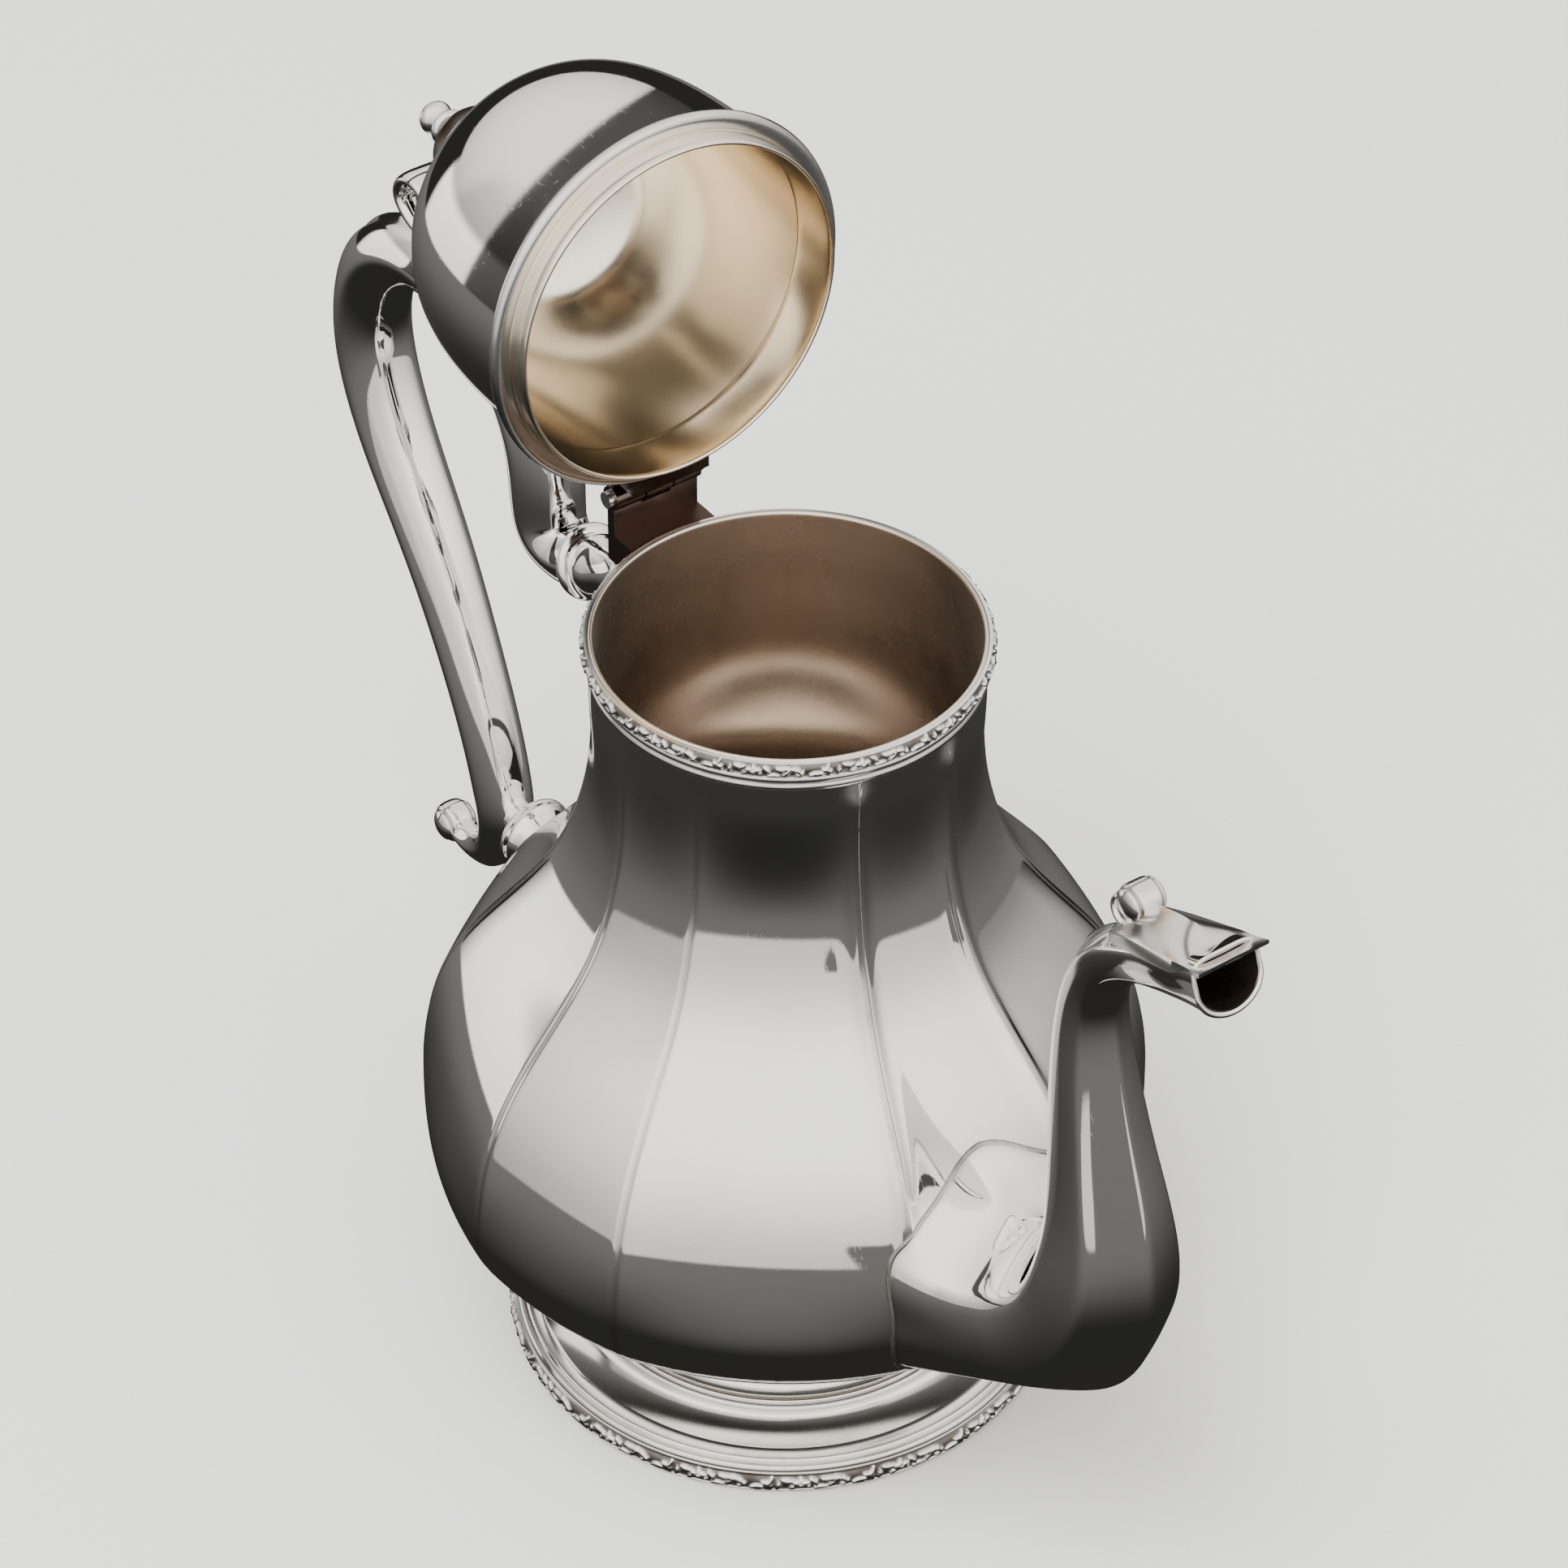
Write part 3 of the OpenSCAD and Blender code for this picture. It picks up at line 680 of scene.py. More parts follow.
@dataclass
class PanelledBody(Part):
    """Pear-shaped body with ten pressed panels under a round neck, open at the mouth."""

    mouth_r: float = 36.0
    mouth_z: float = 173.0
    neck_r: float = 37.0
    seat_z: float = 22.0
    floor_z: float = 24.2
    wall: float = 1.2
    panel_depth: float = 0.62
    arrises: tuple[float, ...] = (-160, -133, -90, -62, -16, 16, 62, 90, 133, 160)
    panel_columns: int = 46
    fold_at: float = 16.0
    fold_width: float = 1.9
    fold_height: float = 1.15
    crease_width: float = 0.7
    crease_depth: float = 0.4

    def edges(self) -> Array:
        """Angles of the arrises in radians, with the first one again at the end."""
        return np.radians([*self.arrises, self.arrises[0] + 360])

    def outline(self, z: Array) -> Array:
        """Radius against height: a spline through the profile, averaged over 5 mm of height.

        Args:
            z: heights.

        Returns:
            Radii, before the panels are pressed.
        """
        knots = [[10, 18], [16, 26], [22, 36], [27, 45.6], [34, 57], [42, 66.4], [50, 71.6],
                 [60, 72.6], [72, 71], [83, 67.5], [93, 61.8], [103, 53.8], [113, 46.4], [125, 41.1],
                 [138, 38.2], [152, 37], [168, 37], [182, 37], [196, 37]]
        shift = np.linspace(-5, 5, 11)
        weight = np.exp(-((shift / 2.6) ** 2))
        values = smooth_through(knots, (np.ravel(z)[:, None] + shift).ravel())
        mean = (values.reshape(-1, len(shift)) * weight).sum(axis=1) / weight.sum()
        return mean.reshape(np.shape(z))

    def press(self, z: Array) -> Array:
        """Share of the panels' flatness at a height, none at the foot and none at the neck."""
        return self.panel_depth * ease((z - 28) / 46) * ease((160 - z) / 26)

    def crease(self, angle: Array, z: Array) -> Array:
        """How far into a crease a place lies: exp(-(distance / width)^2) from the nearest arris."""
        apart = from_zero(angle[..., None] - np.radians(self.arrises)).min(axis=-1)
        return np.exp(-((apart * self.outline(z) / self.crease_width) ** 2)) * self.press(z)

    def radius(self, angle: Array, z: Array) -> Array:
        """Outer radius: the outline, less what the pressed panels take away, plus two folds.

        A fold runs down each side of the spout's panel: height * exp(-(distance / width)^2). A
        shallow crease of the same form is cut along every arris.

        Args:
            angle: angles round the body.
            z: heights, in a shape that fits the angles.

        Returns:
            A grid of radii.
        """
        edges = self.edges()
        middles, halves = (edges[1:] + edges[:-1]) / 2, np.diff(edges) / 2
        flats = soft_polygon(angle, middles, halves, 230.0)
        plain = self.outline(z) * (1 - self.press(z) * (1 - flats))
        off = (from_zero(angle) - math.radians(self.fold_at)) * plain
        fold = np.exp(-((off / self.fold_width) ** 2)) * ease((z - 72) / 20) * ease((167 - z) / 5)
        return plain + self.fold_height * fold - self.crease_depth * self.crease(angle, z)

    def stations(self) -> Array:
        """Angles round the body, crowded towards the arrises.

        Inside a panel the angle goes as s - 0.12 sin(2 pi s), with s from 0 to 1.

        Returns:
            The angles, rising from the first arris.
        """
        s = np.arange(self.panel_columns) / self.panel_columns
        share = s - 0.12 * np.sin(TURN * s)
        edges = self.edges()
        return (edges[:-1, None] + np.diff(edges)[:, None] * share).ravel()

    def skin_x(self, y: Array, z: Array, side: int) -> Array:
        """X of the outer skin, found by repeated substitution.

        Args:
            y: places across.
            z: heights.
            side: 1 towards the spout, -1 towards the handle.

        Returns:
            X, in the shape of y.
        """
        x = np.full(np.shape(y), 60.0)
        for _ in range(6):
            r = self.radius(np.arctan2(y, side * x), z)
            x = np.sqrt(np.maximum(r * r - y * y, 1.0))
        return side * x

    def flared(self, points: Array, angle: Array, radius: float, z: float, steps: int) -> Array:
        """Carries a tube on from its last ring to a ring on the skin at the handle's side.

        Args:
            points: rows of the tube.
            angle: angles of its columns, 0 upwards.
            radius: radius of the ring on the skin.
            z: height of its middle.
            steps: rows of the flare, which are eased mixes of the two rings.

        Returns:
            The rows of the tube and its flare.
        """
        across, up = radius * np.sin(angle), z + radius * np.cos(angle)
        ring = np.stack([self.skin_x(across, up, -1) + 0.3, across, up], -1)
        share = ease(np.linspace(0, 1, steps))[:, None, None]
        return np.concatenate([points, blend(points[-1], ring, share)[1:]])

    def build(self) -> None:
        """Makes the shell: outside from the seat to the mouth, then inside down to the floor.

        The inner wall is nearly round, and follows the outer skin only near the spout.
        """
        angle = self.stations()[None, :]
        straight = np.zeros_like(angle)
        rim_z = self.mouth_z - 1.2
        z_out = np.concatenate([np.linspace(self.seat_z, 60, 32), np.linspace(61, rim_z, 84)])[:, None]
        z_in = np.linspace(rim_z, 27, 66)[:, None]
        outside = self.radius(angle, z_out)
        plain = self.outline(z_in) * (1 - 0.08 * self.press(z_in)) - self.wall
        close = self.radius(angle, z_in) - self.wall
        inside = blend(plain, close, np.exp(-((angle / 0.24) ** 2))) + 0.2 * ease((z_in - 130) / 20)
        lip = np.array([[1.0, -0.5], [0.8, -0.1], [0.5, 0.0], [0.2, -0.1], [0.0, -0.5]])
        lip = lip + [self.mouth_r, self.mouth_z]
        floor = np.linspace(0.97, 0, 12)[:, None]
        under = np.linspace(0, 1, 6)[:, None]
        radius = np.vstack([outside, lip[:, :1] + straight, inside, inside[-1:] * floor,
                            outside[:1] * under * 0.97])
        height = straight + np.vstack([z_out, lip[:, 1:], z_in, self.floor_z + 2.8 * floor**6,
                                       self.seat_z + 0.6 * (1 - under)])
        points = np.stack([radius * np.cos(angle), radius * np.sin(angle), height], axis=-1)
        worn = 0.5 * np.exp(-(((height - self.seat_z) / 0.9) ** 2)) + 0.7 * self.crease(angle, height)
        stained = 0.30 * ease((60 - height) / 36) + 0.22 * ease((height - 158) / 12)
        inner = np.arange(len(radius))[:, None] > len(z_out)
        skin = Skin(points, True, np.where(inner, stained, worn), inner)
        place(skin.piece("pot_shell"), self.wardrobe.body, ("body_shell", "body_bottom"))
        redress(self.wardrobe.steeped, "strainer")


@dataclass
class LeafBorder(Part):
    """Embossed leaf band that stands on a cylinder, with a plain roll along each edge."""

    name: str
    node: str
    radius: float
    low: float
    high: float
    repeats: int
    crown: float
    columns_each: int
    relief: float = 0.75
    rows: int = 20

    def build(self) -> None:
        """Makes the band.

        Outer radius = base + crown * sin(pi v) + relief * leaf height, where v goes from 0 to 1
        across the band; the back is a plain cylinder.
        """
        width = self.high - self.low
        one = leaf_relief(TURN * self.radius / self.repeats, width, self.columns_each, self.rows)
        leaves = np.tile(one, (1, self.repeats))
        columns = leaves.shape[1]
        v = (np.arange(self.rows) + 0.5) / self.rows
        edge = ease(np.minimum(v, 1 - v) / 0.10)
        front = 0.35 + self.crown * np.sin(math.pi * v)[:, None] + self.relief * leaves * edge[:, None]
        roll = np.array([[0.0], [0.30], [0.62]]) + np.zeros(columns)
        swell = np.vstack([roll, front, roll[::-1]])
        span = np.concatenate([[-0.03, -0.02, 0.0], v * 0.94 + 0.03, [1.0, 1.02, 1.03]])
        line = np.stack([np.full(len(span), self.radius), self.low + width * span], -1)
        dirt = np.pad(np.clip(1.0 - 2.8 * leaves, 0, 1) * 0.8, ((3, 3), (0, 0)))
        skin = Skin(spun(line, columns, swell), True, dirt)
        place(skin.piece(self.name, sharp=80), self.wardrobe.chased, (self.node,), Slot.ORNAMENT)


@dataclass
class Reeds(Part):
    """Two fine reeds round the neck just under the leaf border."""

    radius: float = 37.0
    top: float = 169.4
    width: float = 3.3

    def build(self) -> None:
        """Makes them as one band: r = base + |sin| of the height, two ridges."""
        v = np.linspace(0, 1, 33)
        ridge = 0.42 * np.abs(np.sin(TURN * v)) ** 0.7
        line = np.stack([self.radius + ridge, self.top - self.width * v], axis=-1)
        back = self.radius - 0.3
        outline = np.vstack([[back, self.top], line, [back, self.top - self.width]])
        dirt = np.pad(0.9 * np.exp(-((ridge / 0.22) ** 2)), 1, constant_values=0.9)
        skin = Skin(spun(outline, 288), True, dirt[:, None])
        place(skin.piece("neck_reeding", sharp=70), self.wardrobe.chased, ("neck_reeds",), Slot.ORNAMENT)


@dataclass
class Foot(Part):
    """Spun foot: a cove under the body, two fine steps, a hollow sweep and two reeds.

    A moulding is half-round, and is given by how far out from the rim and how high it starts,
    and by how far it steps back, swells and rises.
    """

    rest_r: float = 54.4
    seat_z: float = 22.0
    reeds: tuple[tuple[float, ...], ...] = ((0.15, 5.05, 1.1, 0.75, 0.6), (-1.15, 5.75, 1.1, 0.75, 0.6))
    steps: tuple[tuple[float, ...], ...] = ((-11.5, 10.0, 0.9, 0.6, 0.48), (-12.5, 10.6, 0.7, 0.6, 0.6))

    def moulding(self, out: float, up: float, back: float, swell: float, rise: float) -> Array:
        """Seven points of a moulding: height = up + swell * sin(pi share) + rise * share.

        Args:
            out: where it starts, from the rim outwards.
            up: the height where it starts.
            back: how far it steps back.
            swell: how far it swells.
            rise: how far it rises.

        Returns:
            Rows of [radius, height].
        """
        share = np.arange(7) / 6
        height = up + swell * np.sin(math.pi * share) + rise * share
        return np.stack([self.rest_r + out - back * share, height], -1)

    def build(self) -> None:
        """Spins the outline, with dirt in the grooves between the mouldings."""
        r, top_z = self.rest_r, self.seat_z
        a = np.radians(np.linspace(0, 90, 12))
        sweep = np.stack([r - 3.2 - 8.2 * np.sin(a), 9.9 - 2.5 * np.cos(a)], -1)
        cove = np.stack([38.5 + 3.0 * (1 - np.sin(a)), 15.0 - 3.0 * np.cos(a)], -1)
        top = rounded([[38.5, 15.0], [37.9, 17.4], [37.3, 20.0], [36.7, top_z]], 4)
        inside = rounded([[34.5, top_z], [35.6, 18], [37, 14], [39.4, 10.6], [r - 10.6, 8.0],
                          [r - 6, 5.6], [r - 3, 4.0], [r - 2.4, 2.4], [r - 2.0, 0.0], [r - 0.4, 0.0]], 4)
        reeds = [self.moulding(*row) for row in self.reeds]
        steps = [self.moulding(*row) for row in self.steps]
        rim = [[r, 0.3], [r, 2.5], [r, 4.6]]
        outline = np.vstack([rim, *reeds, sweep, *steps, cove, top, inside])
        groove = 0.75
        ends = [groove, 0, 0, 0, 0, 0, groove]
        dirt = np.concatenate([[0] * len(rim), ends, ends, [0] * len(sweep), ends, ends, [groove],
                               [0] * (len(cove) - 1), [0.12] * len(top), [0] * len(inside)])
        skin = Skin(spun(outline, 288), True, dirt[:, None])
        place(skin.piece("spun_foot", sharp=60), self.wardrobe.spun, ("foot",))
        LeafBorder(self.wardrobe, "foot_leaves", "foot_border", r, low=0.45, high=4.5, repeats=17,
                   crown=0.55, columns_each=72).build()


@dataclass
class Spout(Part):
    """Six-sided swan-neck spout that grows from a lobed root on the body and ends in a beak."""

    body: PanelledBody
    root_z: float = 63.0
    root_r: float = 26.0
    sheet: float = 1.0
    columns: int = 120
    path: PlanePath = field(default_factory=lambda: PlanePath([
        [0, 70, 63], [1, 80, 66], [2, 89.5, 70.5], [3, 97, 79], [4, 100, 91], [5, 99.5, 104], [6, 96.6, 118],
        [7, 93.6, 133], [8, 92, 148], [9, 94, 159.5], [10, 100.5, 168], [11, 111, 174.4],
        [12, 120, 178.4], [13, 126.5, 181], [14, 133, 183.4]]))
    sizes: tuple[tuple[float, float, float], ...] = (
        (0, 22.5, 25), (1, 18.2, 20.4), (2, 16.6, 17.4), (3, 15.4, 15.8), (4, 13.8, 14.2), (5, 11.8, 12),
        (6, 10, 10), (7, 8.5, 8.3), (8, 6.9, 6.7), (9, 6.0, 6.2), (10, 5.8, 6.2), (11, 5.6, 6.4),
        (12, 5.7, 6.7), (13, 6.2, 7.3), (14, 6.8, 8.0))

    def ring_offsets(self, t: Array, angle: Array, inset: float) -> tuple[Array, Array]:
        """Offsets of the section, scaled in the plane and across it.

        It is a soft hexagon along the neck, and becomes round below and square above under the
        hood: (|cos|^5 + |sin|^5)^(-1/5).

        Args:
            t: places on the path.
            angle: angles round the section.
            inset: how far inside the outer skin.

        Returns:
            Two grids of offsets.
        """
        size = smooth_through(list(self.sizes), t)
        firm = blend(0.80, 0.12, ease((t - 10.5) / 2))[:, None]
        shape = blend(1.0, hexagon(angle, 22.0)[None, :], firm)
        square = (np.abs(np.cos(angle)) ** 5 + np.abs(np.sin(angle)) ** 5) ** -0.2
        square = 1 + (square - 1) * ease(0.5 - 1.5 * np.cos(angle))
        shape = blend(shape, square[None, :], ease((t - 10.2) / 1.6)[:, None])
        u = (size[:, :1] * shape - inset) * np.cos(angle)
        v = (size[:, 1:] * shape - inset) * np.sin(angle)
        return u, v

    def root_ring(self, angle: Array, inset: float) -> Array:
        """Ring on the body's skin with six lobes, its lowest point at angle 0.

        Args:
            angle: angles round the ring.
            inset: how far inside the outer ring.

        Returns:
            The points of the ring.
        """
        r = self.root_r + 0.9 * np.cos(6 * angle) - 0.5 * np.abs(np.sin(3 * angle)) - inset
        y = r * np.sin(angle) * 0.96
        z = self.root_z - r * np.cos(angle) * blend(0.90, 1.04, ease(0.5 - 0.5 * np.cos(angle)))
        return np.stack([self.body.skin_x(y, z, 1), y, z], axis=-1)

    def skin(self, inset: float) -> Array:
        """Rows from the root to the beak.

        From the root to the first section, a row is a quadratic arc from the root ring to the
        section, whose middle point leans out from the skin, so the root spreads in a curve.

        Args:
            inset: how far inside the outer skin.

        Returns:
            A grid of points.
        """
        angle = around(self.columns)
        t = np.concatenate([np.linspace(1.6, 9, 60), np.linspace(9.1, 13, 46)])
        rings = self.path.tube(t, *self.ring_offsets(t, angle, inset))
        root, first = self.root_ring(angle, inset), rings[0]
        reach = np.linalg.norm(first - root, axis=-1, keepdims=True)
        knee = first - unit(rings[1] - first) * reach * 0.55
        spread = arc(root, knee, first, np.linspace(0, 1, 22)[:-1, None, None])
        return np.concatenate([spread, rings])

    def build(self) -> None:
        """Makes the tube, its root edge, the hood with its scroll, and the beak's lip."""
        outer, inner = self.skin(0.0), self.skin(self.sheet)
        dirt = np.concatenate([[0.9, 0.2], [0] * (len(outer) - 2), [0.7] * len(inner)])
        skin = Skin(np.concatenate([outer, inner[::-1]]), True, dirt[:, None])
        place(skin.piece("spout_tube"), self.wardrobe.body, ("spout_left", "spout_right"))
        self.root_edge()
        self.hood()
        self.scroll()
        self.lip()

    def root_edge(self) -> None:
        """Thin soldered edge round the root: a flat roll carried round the root ring."""
        ring = self.root_ring(around(240), 0.2)
        points = wired(ring, 0.55 * unit(ring - ring.mean(axis=0)), np.array([0.4, 0.0, 0.0]), 10)
        dirt = 0.8 * np.clip(np.cos(around(10)), 0, 1)
        skin = Skin(points, True, dirt[:, None])
        place(skin.piece("spout_root_edge"), self.wardrobe.chased)

    def hood(self) -> None:
        """Roof-shaped hood over the spout's head, ending in a straight flared lip.

        At each place along the spout the ridge and the edge have a height, from splines, and
        between them z = edge + (ridge - edge) * (1 - |w|)^0.85 with w from -1 to 1 across.
        """
        line = smooth_through([
            [0, 99.6, 3.9, 176.6, 174.4], [1, 102.5, 4.8, 180.8, 176.2], [2, 107, 5.8, 183.9, 178.8],
            [3, 112, 6.5, 185.9, 181.0], [4, 117, 6.9, 186.9, 183.0], [5, 121, 7.1, 186.3, 184.6],
            [6, 124.3, 7.2, 185.6, 185.7], [7, 127.4, 7.6, 187.0, 186.9]], np.linspace(0, 7, 72))
        x, half, ridge, edge = (line[:, i:i + 1] for i in range(4))
        w = np.linspace(-1, 1, 61)[None, :]
        roof = (1 - np.sqrt(w * w + 0.002)).clip(0) ** 0.85
        z = edge + (ridge - edge) * roof
        top = np.stack([x + 0 * w, half * w, z], -1)
        under = top - np.stack([0 * z, 0 * z, 0.9 + 1.9 * np.abs(w) ** 5 * ease((124 - x) / 5)], -1)
        points = np.concatenate([top, under[:, ::-1]], axis=1)
        worn = 0.24 + 0.3 * np.exp(-(((x - 124) / 2) ** 2)) * (1 - w * w)
        skin = Skin(points, tarnish=np.concatenate([worn, 0.6 + 0 * z], axis=1))
        place(skin.piece("spout_roof_hood", sharp=60), self.wardrobe.spun, ("spout_hood",))

    def scroll(self) -> None:
        """Rolled scroll behind the hood: a wound barrel on a ribbon that climbs from the spout."""
        finish = self.wardrobe.spun
        Roll("spout_head_scroll", finish, ("spout_scroll",), centre=(102.8, 182.1), radius=4.0,
             half=4.0, wind=1.1, opening=-35.0, fullness=4.5, groove=0.5).build()
        line = [[0, 105.5, 179.0], [1, 102.6, 177.6], [2, 100.2, 178.4], [3, 99.3, 180.6],
                [4, 100.0, 182.4]]
        sizes = [[0, 0.8, 3.6], [2, 1.0, 3.7], [4, 0.6, 3.2]]
        Ribbon("spout_head_ribbon", finish, (), line, sizes).build()

    def lip(self) -> None:
        """Half-round wire round the open end of the beak, thicker below."""
        angle = around(160)
        t = np.full(1, 13.0)
        ring = self.path.tube(t, *self.ring_offsets(t, angle, 0.4))[0]
        out = unit(ring - self.path.point(t)[0])
        lower = 0.3 * np.clip(0.35 + np.cos(angle), 0.0, 1)[:, None]
        points = wired(ring, out * (0.3 + lower), self.path.along(t)[0] * (0.25 + lower), 12)
        place(Skin(points, True, 0.05).piece("beak_wire"), self.wardrobe.body, ("beak_rim",))


@dataclass
class Ribbon:
    """A crowned strip carried along a line in the XZ plane; sizes are [t, half thick, half wide]."""

    name: str
    finish: bpy.types.Material
    nodes: tuple[str, ...]
    knots: list
    sizes: list
    steps: int = 90
    columns: int = 40

    def build(self) -> None:
        """Makes the strip: a superellipse section, |cos|^0.8 by |sin|^0.6, along the line."""
        t = np.linspace(self.knots[0][0], self.knots[-1][0], self.steps)
        size = smooth_through(self.sizes, t)
        angle = around(self.columns)
        closing = np.sqrt(np.clip(1 - np.abs(np.linspace(-1, 1, self.steps)) ** 24, 0, 1))[:, None]
        thick = np.sign(np.cos(angle)) * np.abs(np.cos(angle)) ** 0.8
        wide = np.sign(np.sin(angle)) * np.abs(np.sin(angle)) ** 0.6
        u = size[:, :1] * closing * thick
        v = size[:, 1:] * (0.6 + 0.4 * closing) * wide
        points = PlanePath(self.knots).tube(t, u, v)
        dirt = 0.45 * ease((np.abs(np.sin(angle)) - 0.93) / 0.07)
        place(Skin(points, tarnish=dirt).piece(self.name, sharp=60), self.finish, self.nodes)


@dataclass
class Roll:
    """A barrel about Y that reads as a wound strip: centre in x and z, radius, half width."""

    name: str
    finish: bpy.types.Material
    nodes: tuple[str, ...]
    centre: tuple[float, float]
    radius: float
    half: float
    wind: float
    opening: float
    fullness: float
    groove: float

    def build(self) -> None:
        """Makes the barrel.

        Radius = barrel - groove on each face - wind * share of a turn from the opening, so the
        strip's end stands up as a small step; the barrel is sqrt(1 - |y|^fullness).
        """
        y = np.linspace(-1, 1, 61)
        barrel = self.radius * np.sqrt(np.clip(1 - np.abs(y) ** self.fullness, 0, 1))
        groove = np.exp(-(((np.abs(y) - 0.62) / 0.07) ** 2)) * self.groove
        share = np.linspace(0, 1, 96)
        angle = math.radians(self.opening) + TURN * np.concatenate([share[:-1], [0.9999]])
        fall = self.wind * np.concatenate([share[:-1], [1.0]])
        r = np.maximum((barrel - groove)[:, None] - fall * (barrel / self.radius)[:, None], 0.0)
        points = np.stack([self.centre[0] + r * np.cos(angle), self.half * y[:, None] + 0 * r,
                           self.centre[1] + r * np.sin(angle)], -1)
        skin = Skin(points, tarnish=0.15 + 1.2 * groove[:, None])
        place(skin.piece(self.name), self.finish, self.nodes)


@dataclass
class Handle(Part):
    """Hollow scroll handle between two sockets, with a thumb scroll and a ball-ended foot."""

    body: PanelledBody
    columns: int = 96
    lower_z: float = 60.5
    path: PlanePath = field(default_factory=lambda: PlanePath([
        [0, -67, 147], [1, -74, 145.4], [2, -79.6, 149], [3, -80.8, 158], [4, -83, 169],
        [5, -90.5, 179.5], [6, -103, 186.5], [7, -117, 188.5], [8, -130.5, 184.5],
        [9, -140.3, 175], [10, -144.4, 162], [11, -143, 149], [12, -137, 135.5],
        [13, -128.5, 122.5], [14, -120, 109], [15, -112.5, 94.5], [16, -106, 79.5],
        [17, -101.6, 65], [18, -101, 55.5], [19, -104.5, 47.5], [20, -111.5, 42.6], [21, -119, 41]]))
    sizes: tuple[tuple[float, float, float], ...] = (
        (0, 6.2, 6.2), (1, 7, 6.8), (2, 8, 7.6), (3, 8.4, 8), (5, 7.8, 8), (7, 7.6, 8), (9, 8.2, 8.4),
        (11, 8.8, 8.6), (13, 8, 8), (15, 7.1, 7.2), (17, 6.5, 6.8), (18, 6.1, 6.4), (19, 5.2, 5.4),
        (20, 4.0, 4.2), (21, 2.8, 3.0))

    def build(self) -> None:
        """Makes the arm, then the sockets, the thumb scroll and the lower scroll."""
        self.arm()
        self.upper_mount()
        self.lower_mount()
        line = [[0, -112, 195.6], [1, -116.6, 196.2], [2, -121, 198.4], [3, -124.2, 202.4],
                [4, -122.4, 206.8], [5, -117.6, 208], [6, -114, 205.2], [7, -114.8, 201.8], [8, -117.8, 202]]
        sizes = [[0, 0.7, 3.4], [2, 1.5, 5.2], [4, 1.5, 5.6], [6, 1.2, 5.2], [8, 0.9, 4.6]]
        Ribbon("thumb_leaf", self.wardrobe.body, ("thumb_scroll",), line, sizes).build()
        Roll("handle_ball_scroll", self.wardrobe.body, ("handle_volute",), centre=(-121.2, 41.9),
             radius=4.7, half=4.4, wind=0.45, opening=90.0, fullness=2.6, groove=0.45).build()

    def arm(self) -> None:
        """Soft six-sided tube with a raised seam down its inner face.

        The seam is a narrow ridge, exp(-(angle/width)^2), on the side towards the body, and the
        heel is a bump of the same kind on the outer side just above the socket.
        """
        t = np.linspace(0, 21, 260)
        angle = around(self.columns)
        size = smooth_through(list(self.sizes), t)
        shape = blend(1.0, hexagon(angle + math.pi / 6, 14.0), 0.55)[None, :]
        face = from_zero(angle)
        ridge, groove = np.exp(-((face / 0.12) ** 2)), np.exp(-(((face - 0.34) / 0.20) ** 2))
        seam = (0.40 * ridge - 0.20 * groove)[None, :]
        fade = (ease((t - 3.5) / 1.5) * ease((18.5 - t) / 1.5))[:, None]
        heel = 3.0 * np.exp(-(((t - 1.7) / 0.45) ** 2))[:, None] * np.exp(-(((angle - math.pi) / 0.75) ** 2))
        u = size[:, :1] * shape * np.cos(angle) + seam * fade - heel
        v = size[:, 1:] * shape * np.sin(angle)
        skin = Skin(self.path.tube(t, u, v), tarnish=np.clip(-seam, 0, 1) * fade)
        place(skin.piece("handle_arm"), self.wardrobe.body, ("handle_left", "handle_right"))

    def collar(self, name: str, outline: list, nodes: tuple[str, ...], flare: Optional[Span] = None) -> None:
        """Turned mounting in line with the arm's upper end.

        Args:
            name: piece name.
            outline: rows of [distance towards the body, radius].
            nodes: CAD nodes it stands for.
            flare: radius and height of the ring where it meets the neck, if it does.
        """
        line = smooth_through([[i, *row] for i, row in enumerate(outline)],
                              np.linspace(0, len(outline) - 1, 12 * len(outline)))
        angle = around(72)
        radius = np.maximum(line[:, 1:], 0.02)
        u, v = radius * np.cos(angle), radius * np.sin(angle)
        points = self.path.tube(np.zeros(len(line)), u, v, forward=-line[:, :1] + 0 * u)
        if flare is not None:
            points = self.body.flared(points, angle, *flare, 18)
        self.mounted(points, name, nodes)

    def mounted(self, points: Array, name: str, nodes: tuple[str, ...], ring: Optional[slice] = None) -> None:
        """Places a turned mounting with dirt where it meets the body.

        Args:
            points: its grid.
            name: piece name.
            nodes: CAD nodes it stands for.
            ring: rows that are a little dull, if any.
        """
        dirt = np.zeros((len(points), 1))
        if ring is not None:
            dirt[ring] = 0.25
        dirt[-3:] = 0.6
        place(Skin(points, tarnish=dirt).piece(name), self.wardrobe.body, nodes)

    def upper_mount(self) -> None:
        """Beaded ferrule and a waisted socket that flares onto the neck."""
        bead = [[-0.2, 5.4], [0.1, 6.9], [0.9, 7.7], [1.9, 7.7], [2.7, 6.9], [3.1, 5.4]]
        waist = [[3.0, 5.4], [3.2, 6.0], [5.5, 6.2], [9, 5.4], [14, 5.2], [19, 6.2], [24, 8.0]]
        self.collar("handle_bead_ring", bead, ("upper_ferrule",))
        self.collar("handle_upper_socket", waist, ("upper_socket",), (9.4, 154.0))

